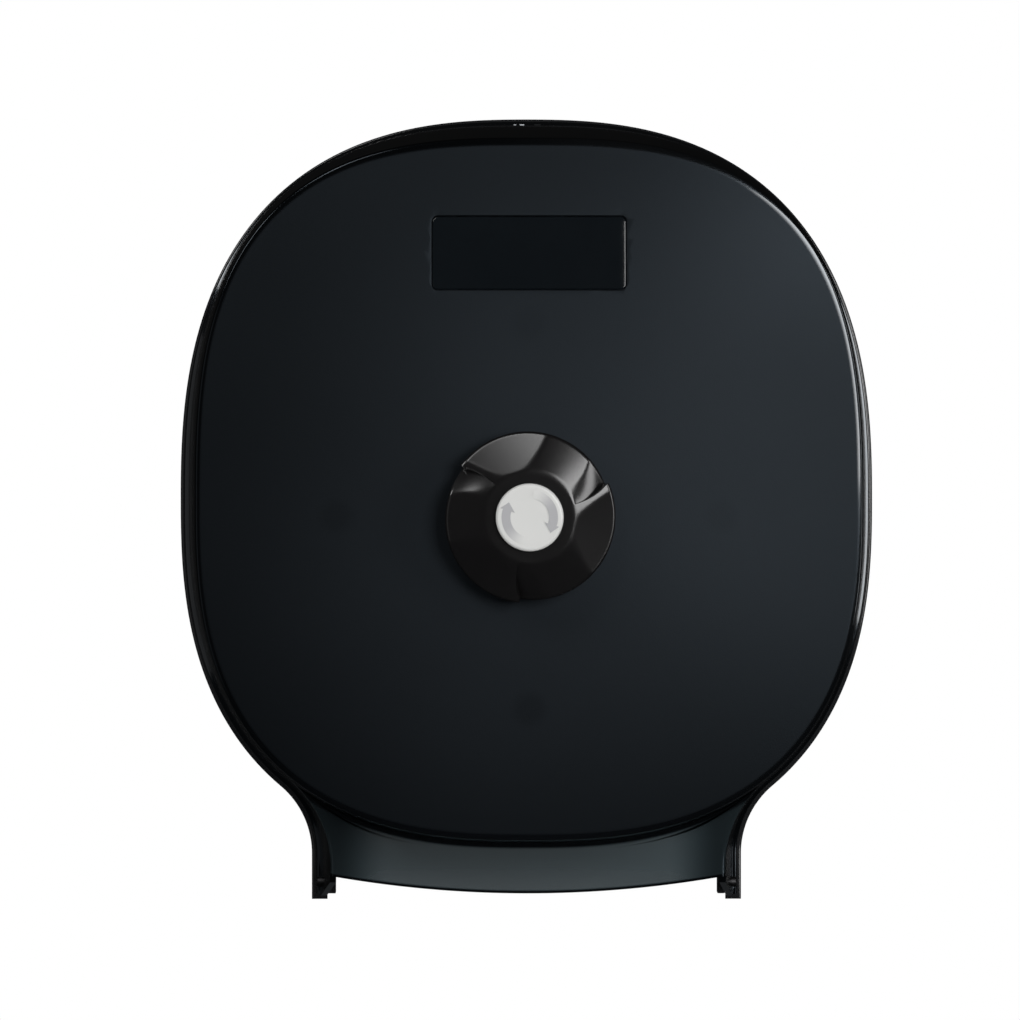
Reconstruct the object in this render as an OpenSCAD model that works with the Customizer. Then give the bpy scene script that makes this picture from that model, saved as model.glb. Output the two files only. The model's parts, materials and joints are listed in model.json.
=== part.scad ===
// Wall-mounted dispenser for four coreless toilet rolls on a turning carousel.
//
// Frame: X to the right, Z up, the front faces -Y. The wall is the plane y = 0 and the
// carousel turns about the line x = 0, z = 0. Every module draws its piece in a working
// frame (x right, y up, z out of the wall) and upright() stands it up.

/* [Case outline] */
// Width of the case at its wall flange
case_w = 298.5; // [285:0.5:320]
// Height of the flange's top above the carousel axis
case_top = 168.5; // [166:0.5:180]
// Drop below the axis at which the round outline would close
belly_drop = 148.5; // [144:0.5:156]
// Drop of the two feet below the axis
leg_drop = 168; // [167.5:0.5:180]
// Squareness of the round outline, where 2 is an ellipse
squareness = 2.55; // [2.4:0.05:2.9]
// How much squarer the face's outline is than the flange's
face_squareness = 0.17; // [0:0.01:0.25]
// Width across the throat at the flange
neck_w = 185.4; // [170:0.2:196]
// Radius that blends the round outline into the throat
neck_blend_r = 38; // [30:1:46]

/* [Front cover] */
// Wall thickness of the cover
cover_wall = 2.6; // [2.2:0.1:3]
// Width of flange left showing round the cover
cover_reveal = 1.4; // [1:0.1:2.5]
// Gap between the flange and the cover's rear edge
cover_gap = 0.5; // [0.4:0.1:1]
// Distance from the wall to the edge of the front face
face_depth = 141; // [138:0.5:150]
// Distance that the front face's edge is set in from the flange's
face_inset = 14; // [13:0.5:18]
// Rise of the front face from its edge to its middle
dome_rise = 13; // [9:0.5:15]
// Radius of the edge round the front face
face_edge_r = 3; // [2:0.5:5]
// Distance from the wall to the throat's front wall
throat_depth = 80; // [70:1:95]
// Drop of the throat wall's lower edge below the axis, at its middle
throat_drop = 159.9; // [157:0.1:161]
// Drop of the throat wall's lower edge at its ends
throat_end_drop = 153.4; // [151:0.1:155]
// Radius of the throat wall's lower edge
throat_arch_r = 475; // [350:5:700]

/* [Back plate] */
// Thickness of the flange that lies on the wall
flange_t = 4; // [3:0.5:4]
// Depth of the wall that stands up inside the cover
rim_wall_depth = 18; // [10:1:24]
// Thickness of that wall
rim_wall_t = 2.4; // [1.6:0.2:3]
// Clearance from the cover's inside to that wall
rim_wall_clear = 0.8; // [0.6:0.1:2]
// Width of each leg beside the throat
leg_w = 6.7; // [6:0.1:8]
// Drop below the axis at which the throat's cut-out starts
cutout_drop = 118; // [112:1:124]
// Horizontal distance between wall screws
screw_dx = 120; // [100:5:140]
// Vertical distance between wall screws
screw_dz = 130; // [100:5:150]
// Radius of a wall screw hole
screw_hole_r = 2.7; // [2:0.1:3.5]

/* [Cover hinge] */
// Drop of the hinge axis below the carousel axis
hinge_drop = 160; // [158:0.5:161]
// Distance from the wall to the hinge axis
hinge_depth = 11; // [10.5:0.5:14]
// Radius of the hinge pins
hinge_pin_r = 2.2; // [1.8:0.1:2.5]
// Radius of the cover's ears round the pins
ear_r = 6; // [5:0.5:6]
// Thickness of the back plate's hinge lugs
lug_t = 3; // [2.5:0.1:4]
// Radius of those lugs round the pins
lug_r = 5; // [4.5:0.25:5.5]

/* [Carousel] */
// Distance from the carousel axis to each roll spindle
spindle_circle_r = 82; // [80:0.5:86]
// Radius of the fixed axle
axle_r = 5; // [4:0.5:6]
// Length of the axle in front of its collar
axle_len = 58; // [50:1:70]
// Thickness of the carousel's arms
arm_t = 4; // [3:0.5:5]
// Width of the carousel's arms
arm_w = 22; // [16:1:28]
// Radius of the carousel's tubular post
post_r = 16; // [15:0.5:18]
// Wall of that post
post_wall = 3; // [2:0.5:4]
// Radius of the disc that each roll rests against
roll_disc_r = 24; // [18:1:30]
// Length of each roll spindle
spindle_len = 88; // [70:1:96]
// Radius of the roll spindles, over their fins
spindle_r = 8.5; // [7.5:0.5:11]
// Radius of the steel pins in them
pin_r = 3; // [2.5:0.25:3.5]

/* [Knob] */
// Radius of the knob
knob_r = 35.2; // [32:0.2:40]
// Height of the knob's grip above the face
knob_h = 17.5; // [14:0.5:20]
// Radius of the flat collar round the button
knob_ring_r = 19; // [18:0.5:22]
// Radius of the white button
button_r = 13.8; // [10:0.2:15]
// Height that the button stands above the ring
button_rise = 3.5; // [2:0.5:4]
// Radius of the knob's shaft
knob_shaft_r = 10; // [8:0.5:11]
// Number of grip blades
blades = 3; // [2:1:5]

/* [Badge] */
// Width of the bare badge panel
badge_w = 79.4; // [60:0.2:90]
// Height of the badge panel
badge_h = 30; // [20:0.5:34]
// Height of the badge's middle above the axis
badge_z = 107.8; // [100:0.2:112]

/* [Lock] */
// Distance from the wall to the lock's axis
lock_depth = 26; // [25:0.5:30]
// Radius of the lock's body
lock_r = 8; // [7:0.25:8.5]
// Radius of the turning plug
plug_r = 5; // [4:0.25:5.5]
// Length of the lock's cam from its axis
cam_len = 15; // [14:0.5:16]
// Width of the cam
cam_w = 8; // [6:0.5:9]

/* [Fits] */
// Radial clearance of a running fit
running = 0.06; // [0.03:0.01:0.09]
// Clearance between pieces that are fastened together
seat = 0.05; // [0.02:0.01:0.1]
// End play where pieces turn on one another
play = 0.3; // [0.2:0.05:0.4]

/* [Hidden] */
$fn = 48;

smoke = [0.14, 0.16, 0.17];
black = [0.05, 0.05, 0.06];
steel = [0.62, 0.63, 0.65];
white = [0.86, 0.86, 0.84];
grey = [0.62, 0.62, 0.64];

// Outline: a superellipse round mid_z, whose lower side opens into the throat.
mid_z = 4;
arc_steps = 64;
blend_steps = 7;
cover_rear = flange_t + cover_gap;
draft = (face_inset - cover_reveal) / (face_depth - face_edge_r - cover_rear);
badge_floor_cut = 1.8;
badge_lean = 7;
badge_corner_r = 2.2;
badge_t = 1;

// Places along the carousel axis, measured out from the wall.
boss_r = 16;
boss_end = 14;
axle_collar_t = 2;
washer_t = 1.5;
bush_flange_t = 1.2;
arms_start = boss_end + axle_collar_t + washer_t + bush_flange_t + 0.1;
arms_end = arms_start + arm_t;
axle_end = boss_end + axle_collar_t + axle_len;
bush_len = 12;
bush_wall = 2;
bush_r = axle_r + running + bush_wall;
hub_end = axle_end - 7;
clip_t = 1.5;
dome_depth = face_depth + dome_rise;
face_inside = dome_depth - cover_wall;
pad_t = 2;
knob_washer_t = 1.2;
knob_washer_end = face_inside - pad_t - play/2;
dog_front = knob_washer_end - knob_washer_t - 0.05;
dog_r = knob_shaft_r + 4;
dog_t = 6;
coupling_lug_h = 3;
coupling_mesh = 2;
coupling_r = 12.5;
coupling_inner_r = 6;
coupling_span = 64;
coupling_end = dog_front - dog_t - coupling_lug_h - (coupling_lug_h - coupling_mesh);
post_end = coupling_end - 5;
small_screw_r = 1.5;
knob_base = dome_depth + 0.3;
knob_top = dome_depth + knob_h;
button_pocket = 3;
facet_lean = 21;
facet_reach = 17;
facet_turn = 115.7;

// Places along each roll spindle.
disc_t = 2;
spindle_start = arms_end + disc_t + play;
spindle_end = spindle_start + spindle_len;
clip_h = 4;
pin_end = spindle_end + play + clip_h - 1;

// Lock, at the top of the cover and just in front of the rim wall.
lock_head_t = 1.4;
lock_head_r = lock_r + 1.3;
lock_top = case_top - inset_at(lock_depth);
lock_seat = lock_top - 2;
lock_boss_r = lock_r + 3;
lock_boss_h = 9;
nut_t = 2.5;
lock_body_end = lock_seat - lock_boss_h - nut_t - 0.5;
cam_t = 2;
cam_top = lock_body_end - play;
strike_t = 2;
strike_x = cam_len + 5;
strike_lip_x = plug_r + 4.5;
strike_depth = lock_depth + cam_w/2 + 1;

function mix(a, b, t) = a + (b - a)*t;

// Inset of the cover's outside at a distance from the wall.
function inset_at(depth) = cover_reveal + (depth - cover_rear)*draft;

function half_height(t, inset) = (sin(t) >= 0 ? case_top - mid_z : belly_drop + mid_z) - inset;

// The outline gets squarer from the flange's edge to the face's.
function squareness_at(inset) = squareness + face_squareness*inset/face_inset;

// Point of the round outline in the direction t.
function rim(t, inset) =
    let(
        a = case_w/2 - inset,
        b = half_height(t, inset),
        n = squareness_at(inset),
        r = pow(pow(abs(cos(t))/a, n) + pow(abs(sin(t))/b, n), -1/n)
    ) [r*cos(t), mid_z + r*sin(t)];

function rim_normal(t, inset) =
    let(
        p = rim(t, inset) - [0, mid_z],
        a = case_w/2 - inset,
        b = half_height(t, inset),
        n = squareness_at(inset),
        g = [sign(p.x)*pow(abs(p.x)/a, n - 1)/a, sign(p.y)*pow(abs(p.y)/b, n - 1)/b]
    ) g/norm(g);

// Zero where the blend circle touches both the round outline and the throat's side.
function blend_gap(t, inset) =
    rim(t, inset).x + (neck_blend_r + inset)*(rim_normal(t, inset).x - 1) - neck_w/2 + inset;

function blend_angle(inset, low = -85, high = -15, left = 30) =
    let(middle = (low + high)/2)
    left == 0 ? middle
    : blend_gap(middle, inset) > 0 ? blend_angle(inset, low, middle, left - 1)
    : blend_angle(inset, middle, high, left - 1);

// Right side of the throat, from its foot up to where it meets the round outline.
function throat_side(inset, foot) =
    let(
        t = blend_angle(inset),
        n = rim_normal(t, inset),
        r = neck_blend_r + inset,
        c = rim(t, inset) + r*n
    ) concat([[neck_w/2 - inset, -foot]], [
        for (i = [0:blend_steps])
            let(a = mix(180, atan2(-n.y, -n.x), i/blend_steps)) c + r*[cos(a), sin(a)]
    ]);

// The same number of points along the bottom of the round outline instead.
function belly_side(inset, t) = [
    for (i = [0:blend_steps + 1]) rim(mix(-88, t, i/(blend_steps + 1)), inset)
];

function crown(inset, t) = [for (i = [1:arc_steps - 1]) rim(mix(t, 180 - t, i/arc_steps), inset)];

function mirrored(points) = [for (i = [len(points) - 1:-1:0]) [-points[i].x, points[i].y]];

function close_outline(side, top) = concat(side, top, mirrored(side));

function throat_outline(inset, foot = leg_drop) =
    close_outline(throat_side(inset, foot), crown(inset, blend_angle(inset)));

function belly_outline(inset, t) = close_outline(belly_side(inset, t), crown(inset, t));

module upright() rotate([90, 0, 0]) children();

// A ring or disc about the axis of the working frame, from z = a to z = b.
module ring(r, a, b, hole = 0) {
    translate([0, 0, a])
        linear_extrude(b - a)
            difference() {
                circle(r);
                if (hole > 0) circle(hole);
            }
}

module at_spindle(i) translate([spindle_circle_r*sin(90*i), spindle_circle_r*cos(90*i), 0]) children();

module at_wall_screws() for (x = [-1, 1], y = [-1, 1]) translate([x*screw_dx/2, y*screw_dz/2, 0]) children();

// Lies along X at the hinge axis.
module at_hinge() translate([0, -hinge_drop, hinge_depth]) rotate([0, 90, 0]) children();

// Stands along the up direction on the lock's axis, with its own Y towards the wall.
module at_lock(up) translate([0, up, lock_depth]) rotate([-90, 0, 0]) children();

// Extrudes a drawing of (distance from the wall, height) along X, from x = a to x = b.
module along_x(a, b) translate([b, 0, 0]) rotate([0, -90, 0]) linear_extrude(b - a) children();

// ---- Front cover ----

// Solid bounded by the cover's outside, or by its inside where grow is the wall thickness.
module cover_volume(grow, rear, foot) {
    throat = throat_depth - grow;
    edge = face_depth - grow;
    throat_inset = inset_at(throat_depth) + grow;
    edge_inset = face_inset + grow;
    r = face_edge_r;
    t = blend_angle(throat_inset);
    points_round = len(throat_outline(0));
    side_count = blend_steps + 2;
    dome_scales = [0.93, 0.82, 0.68, 0.5, 0.28];
    face = belly_outline(edge_inset + r - 0.4, t);
    outlines = concat(
        [
            throat_outline(inset_at(rear) + grow, foot),
            throat_outline(throat_inset, foot),
            belly_outline(throat_inset, t),
            belly_outline(edge_inset - 0.3, t),
            belly_outline(edge_inset + 0.35*r - 0.3, t),
            face
        ],
        [for (s = dome_scales) [for (p = face) [p.x*s, mid_z*(1 - s) + p.y*s]]]
    );
    depths = concat(
        [rear, throat, throat, edge - r, edge - 0.25*r, edge],
        [for (s = dome_scales) edge + dome_rise*(1 - s*s)]
    );
    rings = len(depths);
    points = concat(
        [for (k = [0:rings - 1], p = outlines[k]) [p.x, p.y, depths[k]]],
        [[0, mid_z, edge + dome_rise], [0, mid_z, rear]]
    );
    // Rings 1 and 2 share their points except along the throat.
    function shared(k, j) = k == 2 && j >= side_count - 1 && j <= points_round - side_count;
    function at(k, j) = let(m = j % points_round) (shared(k, m) ? 1 : k)*points_round + m;
    polyhedron(points, concat(
        [
            for (k = [0:rings - 2], j = [0:points_round - 1])
                if (k != 1 || !(shared(2, j) && shared(2, (j + 1) % points_round)))
                    each side_faces(at(k, j), at(k, j + 1), at(k + 1, j), at(k + 1, j + 1))
        ],
        [for (j = [0:points_round - 1]) [rings*points_round, at(rings - 1, j + 1), at(rings - 1, j)]],
        [for (j = [0:points_round - 1]) [rings*points_round + 1, at(0, j), at(0, j + 1)]]
    ));
}

// Two triangles of one quad, or the one that is left where a corner is shared.
function side_faces(a, b, c, d) =
    [for (f = [[a, c, d], [a, d, b]]) if (f[0] != f[1] && f[1] != f[2] && f[0] != f[2]) f];

// What is cut off below the side walls; the ears stay round the hinge axis, and the throat's
// front wall between them is left whole.
module below_sides() {
    run = throat_depth - hinge_depth;
    rise = hinge_drop - throat_end_drop;
    slope = atan2(rise, run);
    tangent = slope - acos(ear_r/norm([run, rise]));
    ear = [
        for (i = [0:12])
            let(a = mix(180, 360 + tangent, i/12))
                [hinge_depth + ear_r*cos(a), -hinge_drop + ear_r*sin(a)]
    ];
    low = -leg_drop - 40;
    from = neck_w/2 - inset_at(throat_depth) - cover_wall;
    for (side = [0, 1])
        mirror([side, 0, 0])
            along_x(from, case_w)
                polygon(concat([[-10, low], [-10, -hinge_drop]], ear, [
                    [throat_depth + 20, -throat_end_drop + 20*rise/run],
                    [throat_depth + 20, low]
                ]));
}

// What is cut off below the throat's front wall, up to its arched lower edge.
module below_throat() {
    depth = throat_depth - cover_wall - 3;
    difference() {
        translate([-case_w/2, -throat_drop - 60, depth]) cube([case_w, 100, 40]);
        translate([0, throat_arch_r - throat_drop, depth - 1]) cylinder(r = throat_arch_r, h = 42, $fn = 96);
    }
}

module badge_frame() {
    top = case_top - mid_z - face_inset;
    depth = face_depth + dome_rise*(1 - pow((badge_z - mid_z)/top, 2)) - badge_floor_cut;
    translate([0, badge_z, depth]) rotate([-badge_lean, 0, 0]) children();
}

module rounded_plate(w, h, t, r) linear_extrude(t) offset(r) square([w - 2*r, h - 2*r], center = true);

module front_cover() color(smoke) upright()
    difference() {
        union() {
            difference() {
                cover_volume(0, cover_rear, leg_drop + 12);
                cover_volume(cover_wall, -1, leg_drop + 20);
            }
            ring(knob_shaft_r + 6, face_inside - pad_t, face_inside + 1.2);
            badge_frame() translate([-badge_w/2 - 2, -badge_h/2 - 2, -2]) cube([badge_w + 4, badge_h + 4, 2.2]);
            at_lock(lock_seat - lock_boss_h) cylinder(r = lock_boss_r, h = lock_boss_h + 0.6);
        }
        below_sides();
        below_throat();
        ring(knob_shaft_r + running, face_inside - 5, dome_depth + 5);
        badge_frame() rounded_plate(badge_w + 0.4, badge_h + 0.4, 10, badge_corner_r);
        at_lock(lock_seat) cylinder(r = lock_head_r + 0.15, h = 10);
        at_lock(lock_seat - lock_boss_h - 1) cylinder(r = lock_r + seat, h = lock_boss_h + 2);
        at_hinge() translate([0, 0, -neck_w]) cylinder(r = hinge_pin_r + running, h = 2*neck_w);
    }

module badge_panel() color(black) upright()
    badge_frame() rounded_plate(badge_w, badge_h, badge_t, badge_corner_r);

// ---- Back plate and hinge ----

lug_out = neck_w/2 - inset_at(hinge_depth + lug_r) - cover_wall - 0.4;
lug_in = lug_out - lug_t;
hinge_head_t = 1.4;
screw_pad_r = 7;
axle_screw_r = 2.5;
axle_screw_head_r = 4.5;
rib_t = 2.4;

// The way for the paper between the legs, with two round upper corners.
module throat_cutout() {
    corner = 20;
    leg_in = neck_w/2 - leg_w;
    translate([-leg_in, -leg_drop - 1]) square([2*leg_in, leg_drop + 1 - hinge_drop - lug_r]);
    translate([-lug_in, -leg_drop]) square([2*lug_in, leg_drop - cutout_drop - corner]);
    translate([corner - lug_in, -cutout_drop - 2*corner]) square([2*(lug_in - corner), 2*corner]);
    for (x = [-1, 1]) translate([x*(lug_in - corner), -cutout_drop - corner]) circle(corner);
}

// Wall that stands inside the cover round its upper half, with a gap for the lock.
module rim_wall() {
    inset = inset_at(flange_t + rim_wall_depth) + cover_wall + rim_wall_clear;
    t = blend_angle(0);
    translate([0, 0, flange_t - 0.5])
        linear_extrude(rim_wall_depth + 0.5)
            difference() {
                polygon(belly_outline(inset, t));
                polygon(belly_outline(inset + rim_wall_t, t));
                translate([-case_w, -case_w - 50]) square([2*case_w, case_w]);
                translate([-lock_boss_r - 5, 0]) square([2*lock_boss_r + 10, case_w]);
            }
}

module hinge_lug() along_x(lug_in, lug_out)
    union() {
        translate([hinge_depth, -hinge_drop]) circle(lug_r);
        polygon([
            [flange_t - 1, -hinge_drop - lug_r],
            [hinge_depth, -hinge_drop - lug_r],
            [hinge_depth + lug_r, -hinge_drop],
            [hinge_depth + lug_r, -hinge_drop + lug_r],
            [flange_t - 1, -hinge_drop + 3*lug_r]
        ]);
    }

module back_plate() color(black) upright()
    difference() {
        union() {
            linear_extrude(flange_t)
                difference() {
                    polygon(throat_outline(0));
                    throat_cutout();
                }
            rim_wall();
            ring(boss_r, flange_t - 1, boss_end);
            for (a = [45:90:315])
                rotate(a) translate([boss_r - 3, -rib_t/2, flange_t - 1]) cube([34, rib_t, 8]);
            at_wall_screws() ring(screw_pad_r, flange_t - 1, flange_t + 2);
            hinge_lug();
            mirror([1, 0, 0]) hinge_lug();
        }
        ring(axle_r + seat, flange_t, boss_end + 1);
        ring(axle_screw_r + 0.2, -1, flange_t + 1);
        ring(axle_screw_head_r + 0.2, -1, 2.7);
        at_wall_screws() ring(screw_hole_r, -1, flange_t + 3);
        strike_holes();
        at_hinge() translate([0, 0, -neck_w]) cylinder(r = hinge_pin_r + seat, h = 2*neck_w);
    }

// Pushed in from between the legs; its head stays on the lug's inner side.
module hinge_pin() at_hinge() {
    pin_out = neck_w/2 - inset_at(hinge_depth + hinge_pin_r) - 0.3;
    translate([0, 0, lug_in - hinge_head_t]) cylinder(r = hinge_pin_r + 1.2, h = hinge_head_t);
    translate([0, 0, lug_in - hinge_head_t]) cylinder(r = hinge_pin_r, h = pin_out - lug_in + hinge_head_t);
}

module hinge_pin_right() color(steel) upright() hinge_pin();

module hinge_pin_left() color(steel) upright() mirror([1, 0, 0]) hinge_pin();

// ---- Lock and strike ----

strike_mid = cam_top - cam_t/2;
strike_top = strike_mid + 0.6;
strike_foot_h = 12;
strike_screw_x = [4, 15];

module at_strike_screws() for (x = strike_screw_x) translate([x, strike_mid - 7, 0]) children();

module strike_holes() at_strike_screws() ring(small_screw_r + seat, 0.8, flange_t + 1);

// Foot on the flange, an arm beside the cam's sweep and a lip in front of the locked cam.
module strike_bracket() color(steel) upright()
    difference() {
        translate([0, strike_top - strike_foot_h, 0])
            union() {
                translate([0, 0, flange_t]) cube([strike_x + strike_t, strike_foot_h, strike_t]);
                translate([strike_x, strike_foot_h - 8, flange_t])
                    cube([strike_t, 8, strike_depth + strike_t - flange_t]);
                translate([strike_lip_x, strike_foot_h - 8, strike_depth])
                    cube([strike_x + strike_t - strike_lip_x, 8, strike_t]);
            }
        at_strike_screws() ring(small_screw_r + seat, flange_t - 1, flange_t + strike_t + 1);
    }

module strike_screws() color(steel) upright()
    at_strike_screws() {
        ring(small_screw_r, 1, flange_t + strike_t + 0.5);
        ring(2.8, flange_t + strike_t, flange_t + strike_t + 1.8);
    }

module lock_body() color(steel) upright()
    difference() {
        union() {
            at_lock(lock_body_end) cylinder(r = lock_r, h = lock_seat - lock_body_end + 0.5);
            at_lock(lock_seat) cylinder(r = lock_head_r, h = lock_head_t);
        }
        at_lock(lock_body_end - 1) cylinder(r = plug_r + running, h = 30);
        at_lock(lock_seat + 0.4) cylinder(r = plug_r + 1.3, h = 10);
    }

module lock_nut() color(steel) upright()
    at_lock(lock_seat - lock_boss_h - nut_t)
        difference() {
            cylinder(r = lock_boss_r + 1, h = nut_t, $fn = 6);
            translate([0, 0, -1]) cylinder(r = lock_r + seat, h = nut_t + 2);
        }

module lock_plug() color(steel) upright()
    difference() {
        union() {
            at_lock(cam_top) cylinder(r = plug_r, h = lock_seat + 0.6 - cam_top);
            at_lock(lock_seat + 0.45) cylinder(r = plug_r + 1.2, h = lock_head_t - 0.55);
        }
        at_lock(lock_seat - 2) translate([-0.7, -3, 0]) cube([1.4, 6, 10]);
        at_lock(cam_top - 1) cylinder(r = small_screw_r + seat, h = 7);
    }

// Points at the wall when unlocked, and at the strike's arm a quarter turn later.
module lock_cam() color(steel) upright()
    at_lock(cam_top - cam_t)
        linear_extrude(cam_t)
            difference() {
                union() {
                    circle(plug_r);
                    intersection() {
                        translate([-cam_w/2, 0]) square([cam_w, cam_len]);
                        circle(cam_len);
                    }
                }
                circle(small_screw_r + seat);
            }

module lock_cam_screw() color(steel) upright() {
    at_lock(cam_top - cam_t - 1.8) cylinder(r = 2.8, h = 1.8);
    at_lock(cam_top - cam_t - 1) cylinder(r = small_screw_r, h = cam_t + 6);
}

// ---- Axle and carousel ----

module axle() color(steel) upright()
    difference() {
        union() {
            ring(axle_r, flange_t, axle_end);
            ring(axle_r + 3, boss_end, boss_end + axle_collar_t);
        }
        ring(axle_screw_r + seat, flange_t - 1, boss_end + 3);
        ring(axle_r + 1, clip_start, clip_start + clip_t, axle_groove_r);
    }

bush_end = axle_end - 7;
wave_t = 1;
wave_start = bush_end + bush_flange_t + 0.1;
clip_start = wave_start + wave_t + 0.1;
axle_groove_r = axle_r - 0.8;

module axle_screw() color(steel) upright() {
    ring(axle_screw_head_r, 0.3, 2.7);
    ring(axle_screw_r, 2, boss_end + 2);
}

module thrust_washer() color(steel) upright()
    ring(axle_r + 5, boss_end + axle_collar_t, boss_end + axle_collar_t + washer_t, axle_r + running);

module wave_washer() color(steel) upright()
    ring(axle_r + 2.6, wave_start, wave_start + wave_t, axle_r + running);

module axle_clip() color(steel) upright()
    difference() {
        ring(axle_r + 3, clip_start + 0.05, clip_start + clip_t - 0.05, axle_groove_r + seat);
        translate([-axle_r + 1.5, 0, clip_start - 1]) cube([2*axle_r - 3, axle_r + 5, clip_t + 2]);
    }

module carousel_arms() color(black) upright()
    difference() {
        union() {
            ring(post_r + 8, arms_start, arms_end);
            ring(post_r, arms_start, post_end);
            for (i = [0:3]) {
                rotate(90*i) translate([-arm_w/2, 0, arms_start]) cube([arm_w, spindle_circle_r, arm_t]);
                rotate(90*i) translate([-rib_t/2, post_r - 2, arms_end - 1]) cube([rib_t, 26, 9]);
                at_spindle(i) ring(roll_disc_r, arms_start, arms_end);
                at_spindle(i) ring(spindle_r + 5, arms_end - 1, arms_end + disc_t);
            }
        }
        ring(bush_r + seat, arms_start - 1, bush_end + 1);
        ring(post_r - post_wall, bush_end, post_end + 1);
        for (i = [0:3])
            at_spindle(i) {
                ring(pin_r + seat, arms_start - 1, arms_end + disc_t + 1);
                ring(pin_r + 2.2, arms_start - 1, arms_start + 1.6);
            }
    }

module bush(flange_a, a, b) difference() {
    union() {
        ring(bush_r, a, b);
        ring(bush_r + 2, flange_a, flange_a + bush_flange_t);
    }
    ring(axle_r + running, a - 5, b + 5);
}

module rear_bush() color(white) upright()
    bush(arms_start - bush_flange_t, arms_start - 0.5, arms_start + bush_len);

module front_bush() color(white) upright()
    bush(bush_end, bush_end - bush_len, bush_end + 0.5);

// Two lugs of a face coupling, each coupling_span wide, centred on the direction a.
module coupling_lugs(a, from, to)
    for (turn = [0, 180])
        translate([0, 0, from])
            rotate(a + turn - coupling_span/2)
                rotate_extrude(angle = coupling_span)
                    translate([coupling_inner_r, 0]) square([coupling_r - coupling_inner_r, to - from]);

module driven_coupling() color(white) upright()
    difference() {
        union() {
            ring(post_r, post_end, coupling_end);
            ring(post_r - post_wall - seat, post_end - 4, post_end + 1);
            coupling_lugs(0, coupling_end - 1, coupling_end + coupling_lug_h);
        }
        ring(coupling_inner_r - 1, post_end - 5, coupling_end + 1);
    }

module spindle_pins() color(steel) upright()
    for (i = [0:3])
        at_spindle(i) {
            ring(pin_r, arms_start + 0.1, pin_end);
            ring(pin_r + 2, arms_start + 0.1, arms_start + 1.5);
        }

module spindle_clips() color(steel) upright()
    for (i = [0:3])
        at_spindle(i)
            difference() {
                ring(pin_r + 2, spindle_end + play, spindle_end + play + clip_h);
                ring(pin_r + seat, spindle_end, pin_end + 0.1);
            }

// Turns on its steel pin; four fins carry the roll and the nose guides it on.
module roll_spindle(i) color(white) upright()
    at_spindle(i)
        difference() {
            union() {
                ring(spindle_r - 2, spindle_start, spindle_end - 8);
                ring(spindle_r + 3, spindle_start, spindle_start + 2);
                translate([0, 0, spindle_end - 8]) cylinder(r1 = spindle_r - 2, r2 = pin_r + 1.6, h = 8);
                for (a = [0:90:270])
                    rotate(a + 45)
                        translate([pin_r + 1, -1, spindle_start + 1])
                            cube([spindle_r - pin_r - 1, 2, spindle_len - 12]);
            }
            ring(pin_r + running, spindle_start - 1, spindle_end + 1);
        }

module roll_spindle_top() roll_spindle(0);
module roll_spindle_right() roll_spindle(1);
module roll_spindle_bottom() roll_spindle(2);
module roll_spindle_left() roll_spindle(3);

// ---- Knob ----

// How far the grip lies below its flat collar: a scoop after each step, then a facet. local is
// the angle from the step, and turn the angle from the line the first blade's facet faces.
function grip_drop(r, local, turn) =
    let(
        deep = local < 48 ? 0.2 + 0.42*pow(1 - local/48, 1.3) : 0.2 + 0.1*pow((local - 48)/20, 2),
        facet = tan(facet_lean)*(r*cos(turn) - facet_reach) + 0.006*pow(max(0, r*sin(turn) - 1), 2)
    )
    max(0, facet, (r - knob_ring_r)*deep);

function grip_radius(v, u) = mix(knob_ring_r - 2.6, knob_r*(1 - 0.045*pow(1 - u, 2)), v);

// The blades' steps are curves that lean back towards the collar.
function step_angle(v) = 23 - 7*(1 - v) - 9*v*(1 - v);

// v runs from inside the collar to the rim, and u round one blade, from just past one step to
// just before the next.
function grip_point(v, u, i) =
    let(
        local = 0.8 + (360/blades - 0.8)*u,
        r = grip_radius(v, u),
        a = step_angle(v) + local + 360*i/blades,
        top = knob_top - knob_base - grip_drop(r, local, step_angle(v) + local - facet_turn)
    )
    [r*cos(a), r*sin(a), top];

// The knob's grip: as many scooped blades as the knob has, each ending in a step.
module grip() {
    cols = 20;
    rows = 9;
    around = blades*(cols + 1);
    tops = [
        for (j = [0:rows], i = [0:blades - 1], k = [0:cols]) grip_point(j/rows, pow(k/cols, 1.2), i)
    ];
    feet = [for (i = [0:around - 1]) let(p = tops[rows*around + i]) [p.x, p.y, 0]];
    points = concat(tops, feet, [[0, 0, knob_top - knob_base], [0, 0, 0]]);
    bands = rows + 1;
    polyhedron(points, concat(
        [
            for (j = [0:bands - 1], i = [0:around - 1])
                let(n = (i + 1) % around)
                    each side_faces((j + 1)*around + i, (j + 1)*around + n, j*around + i, j*around + n)
        ],
        [for (i = [0:around - 1]) [(bands + 1)*around, (i + 1) % around, i]],
        [for (i = [0:around - 1]) [(bands + 1)*around + 1, bands*around + i, bands*around + (i + 1) % around]]
    ));
}

module knob_body() color(black) upright()
    difference() {
        union() {
            translate([0, 0, knob_base]) grip();
            ring(knob_shaft_r, dog_front, knob_base + 2);
            translate([-4, -8, dog_front - 2]) cube([8, 16, 3]);
        }
        ring(button_r + 0.15, knob_top - button_pocket, knob_top + 1);
        ring(2.05, dog_front - 3, dog_front + 11);
    }

module knob_button() color(white) upright()
    translate([0, 0, knob_top - button_pocket])
        rotate_extrude($fn = 96)
            polygon([
                [0, 0], [button_r, 0], [button_r, button_pocket + button_rise - 1.2],
                [button_r - 1.2, button_pocket + button_rise - 0.2],
                [button_r - 2, button_pocket + button_rise - 0.2],
                [0, button_pocket + button_rise - 0.2]
            ]);

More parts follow.
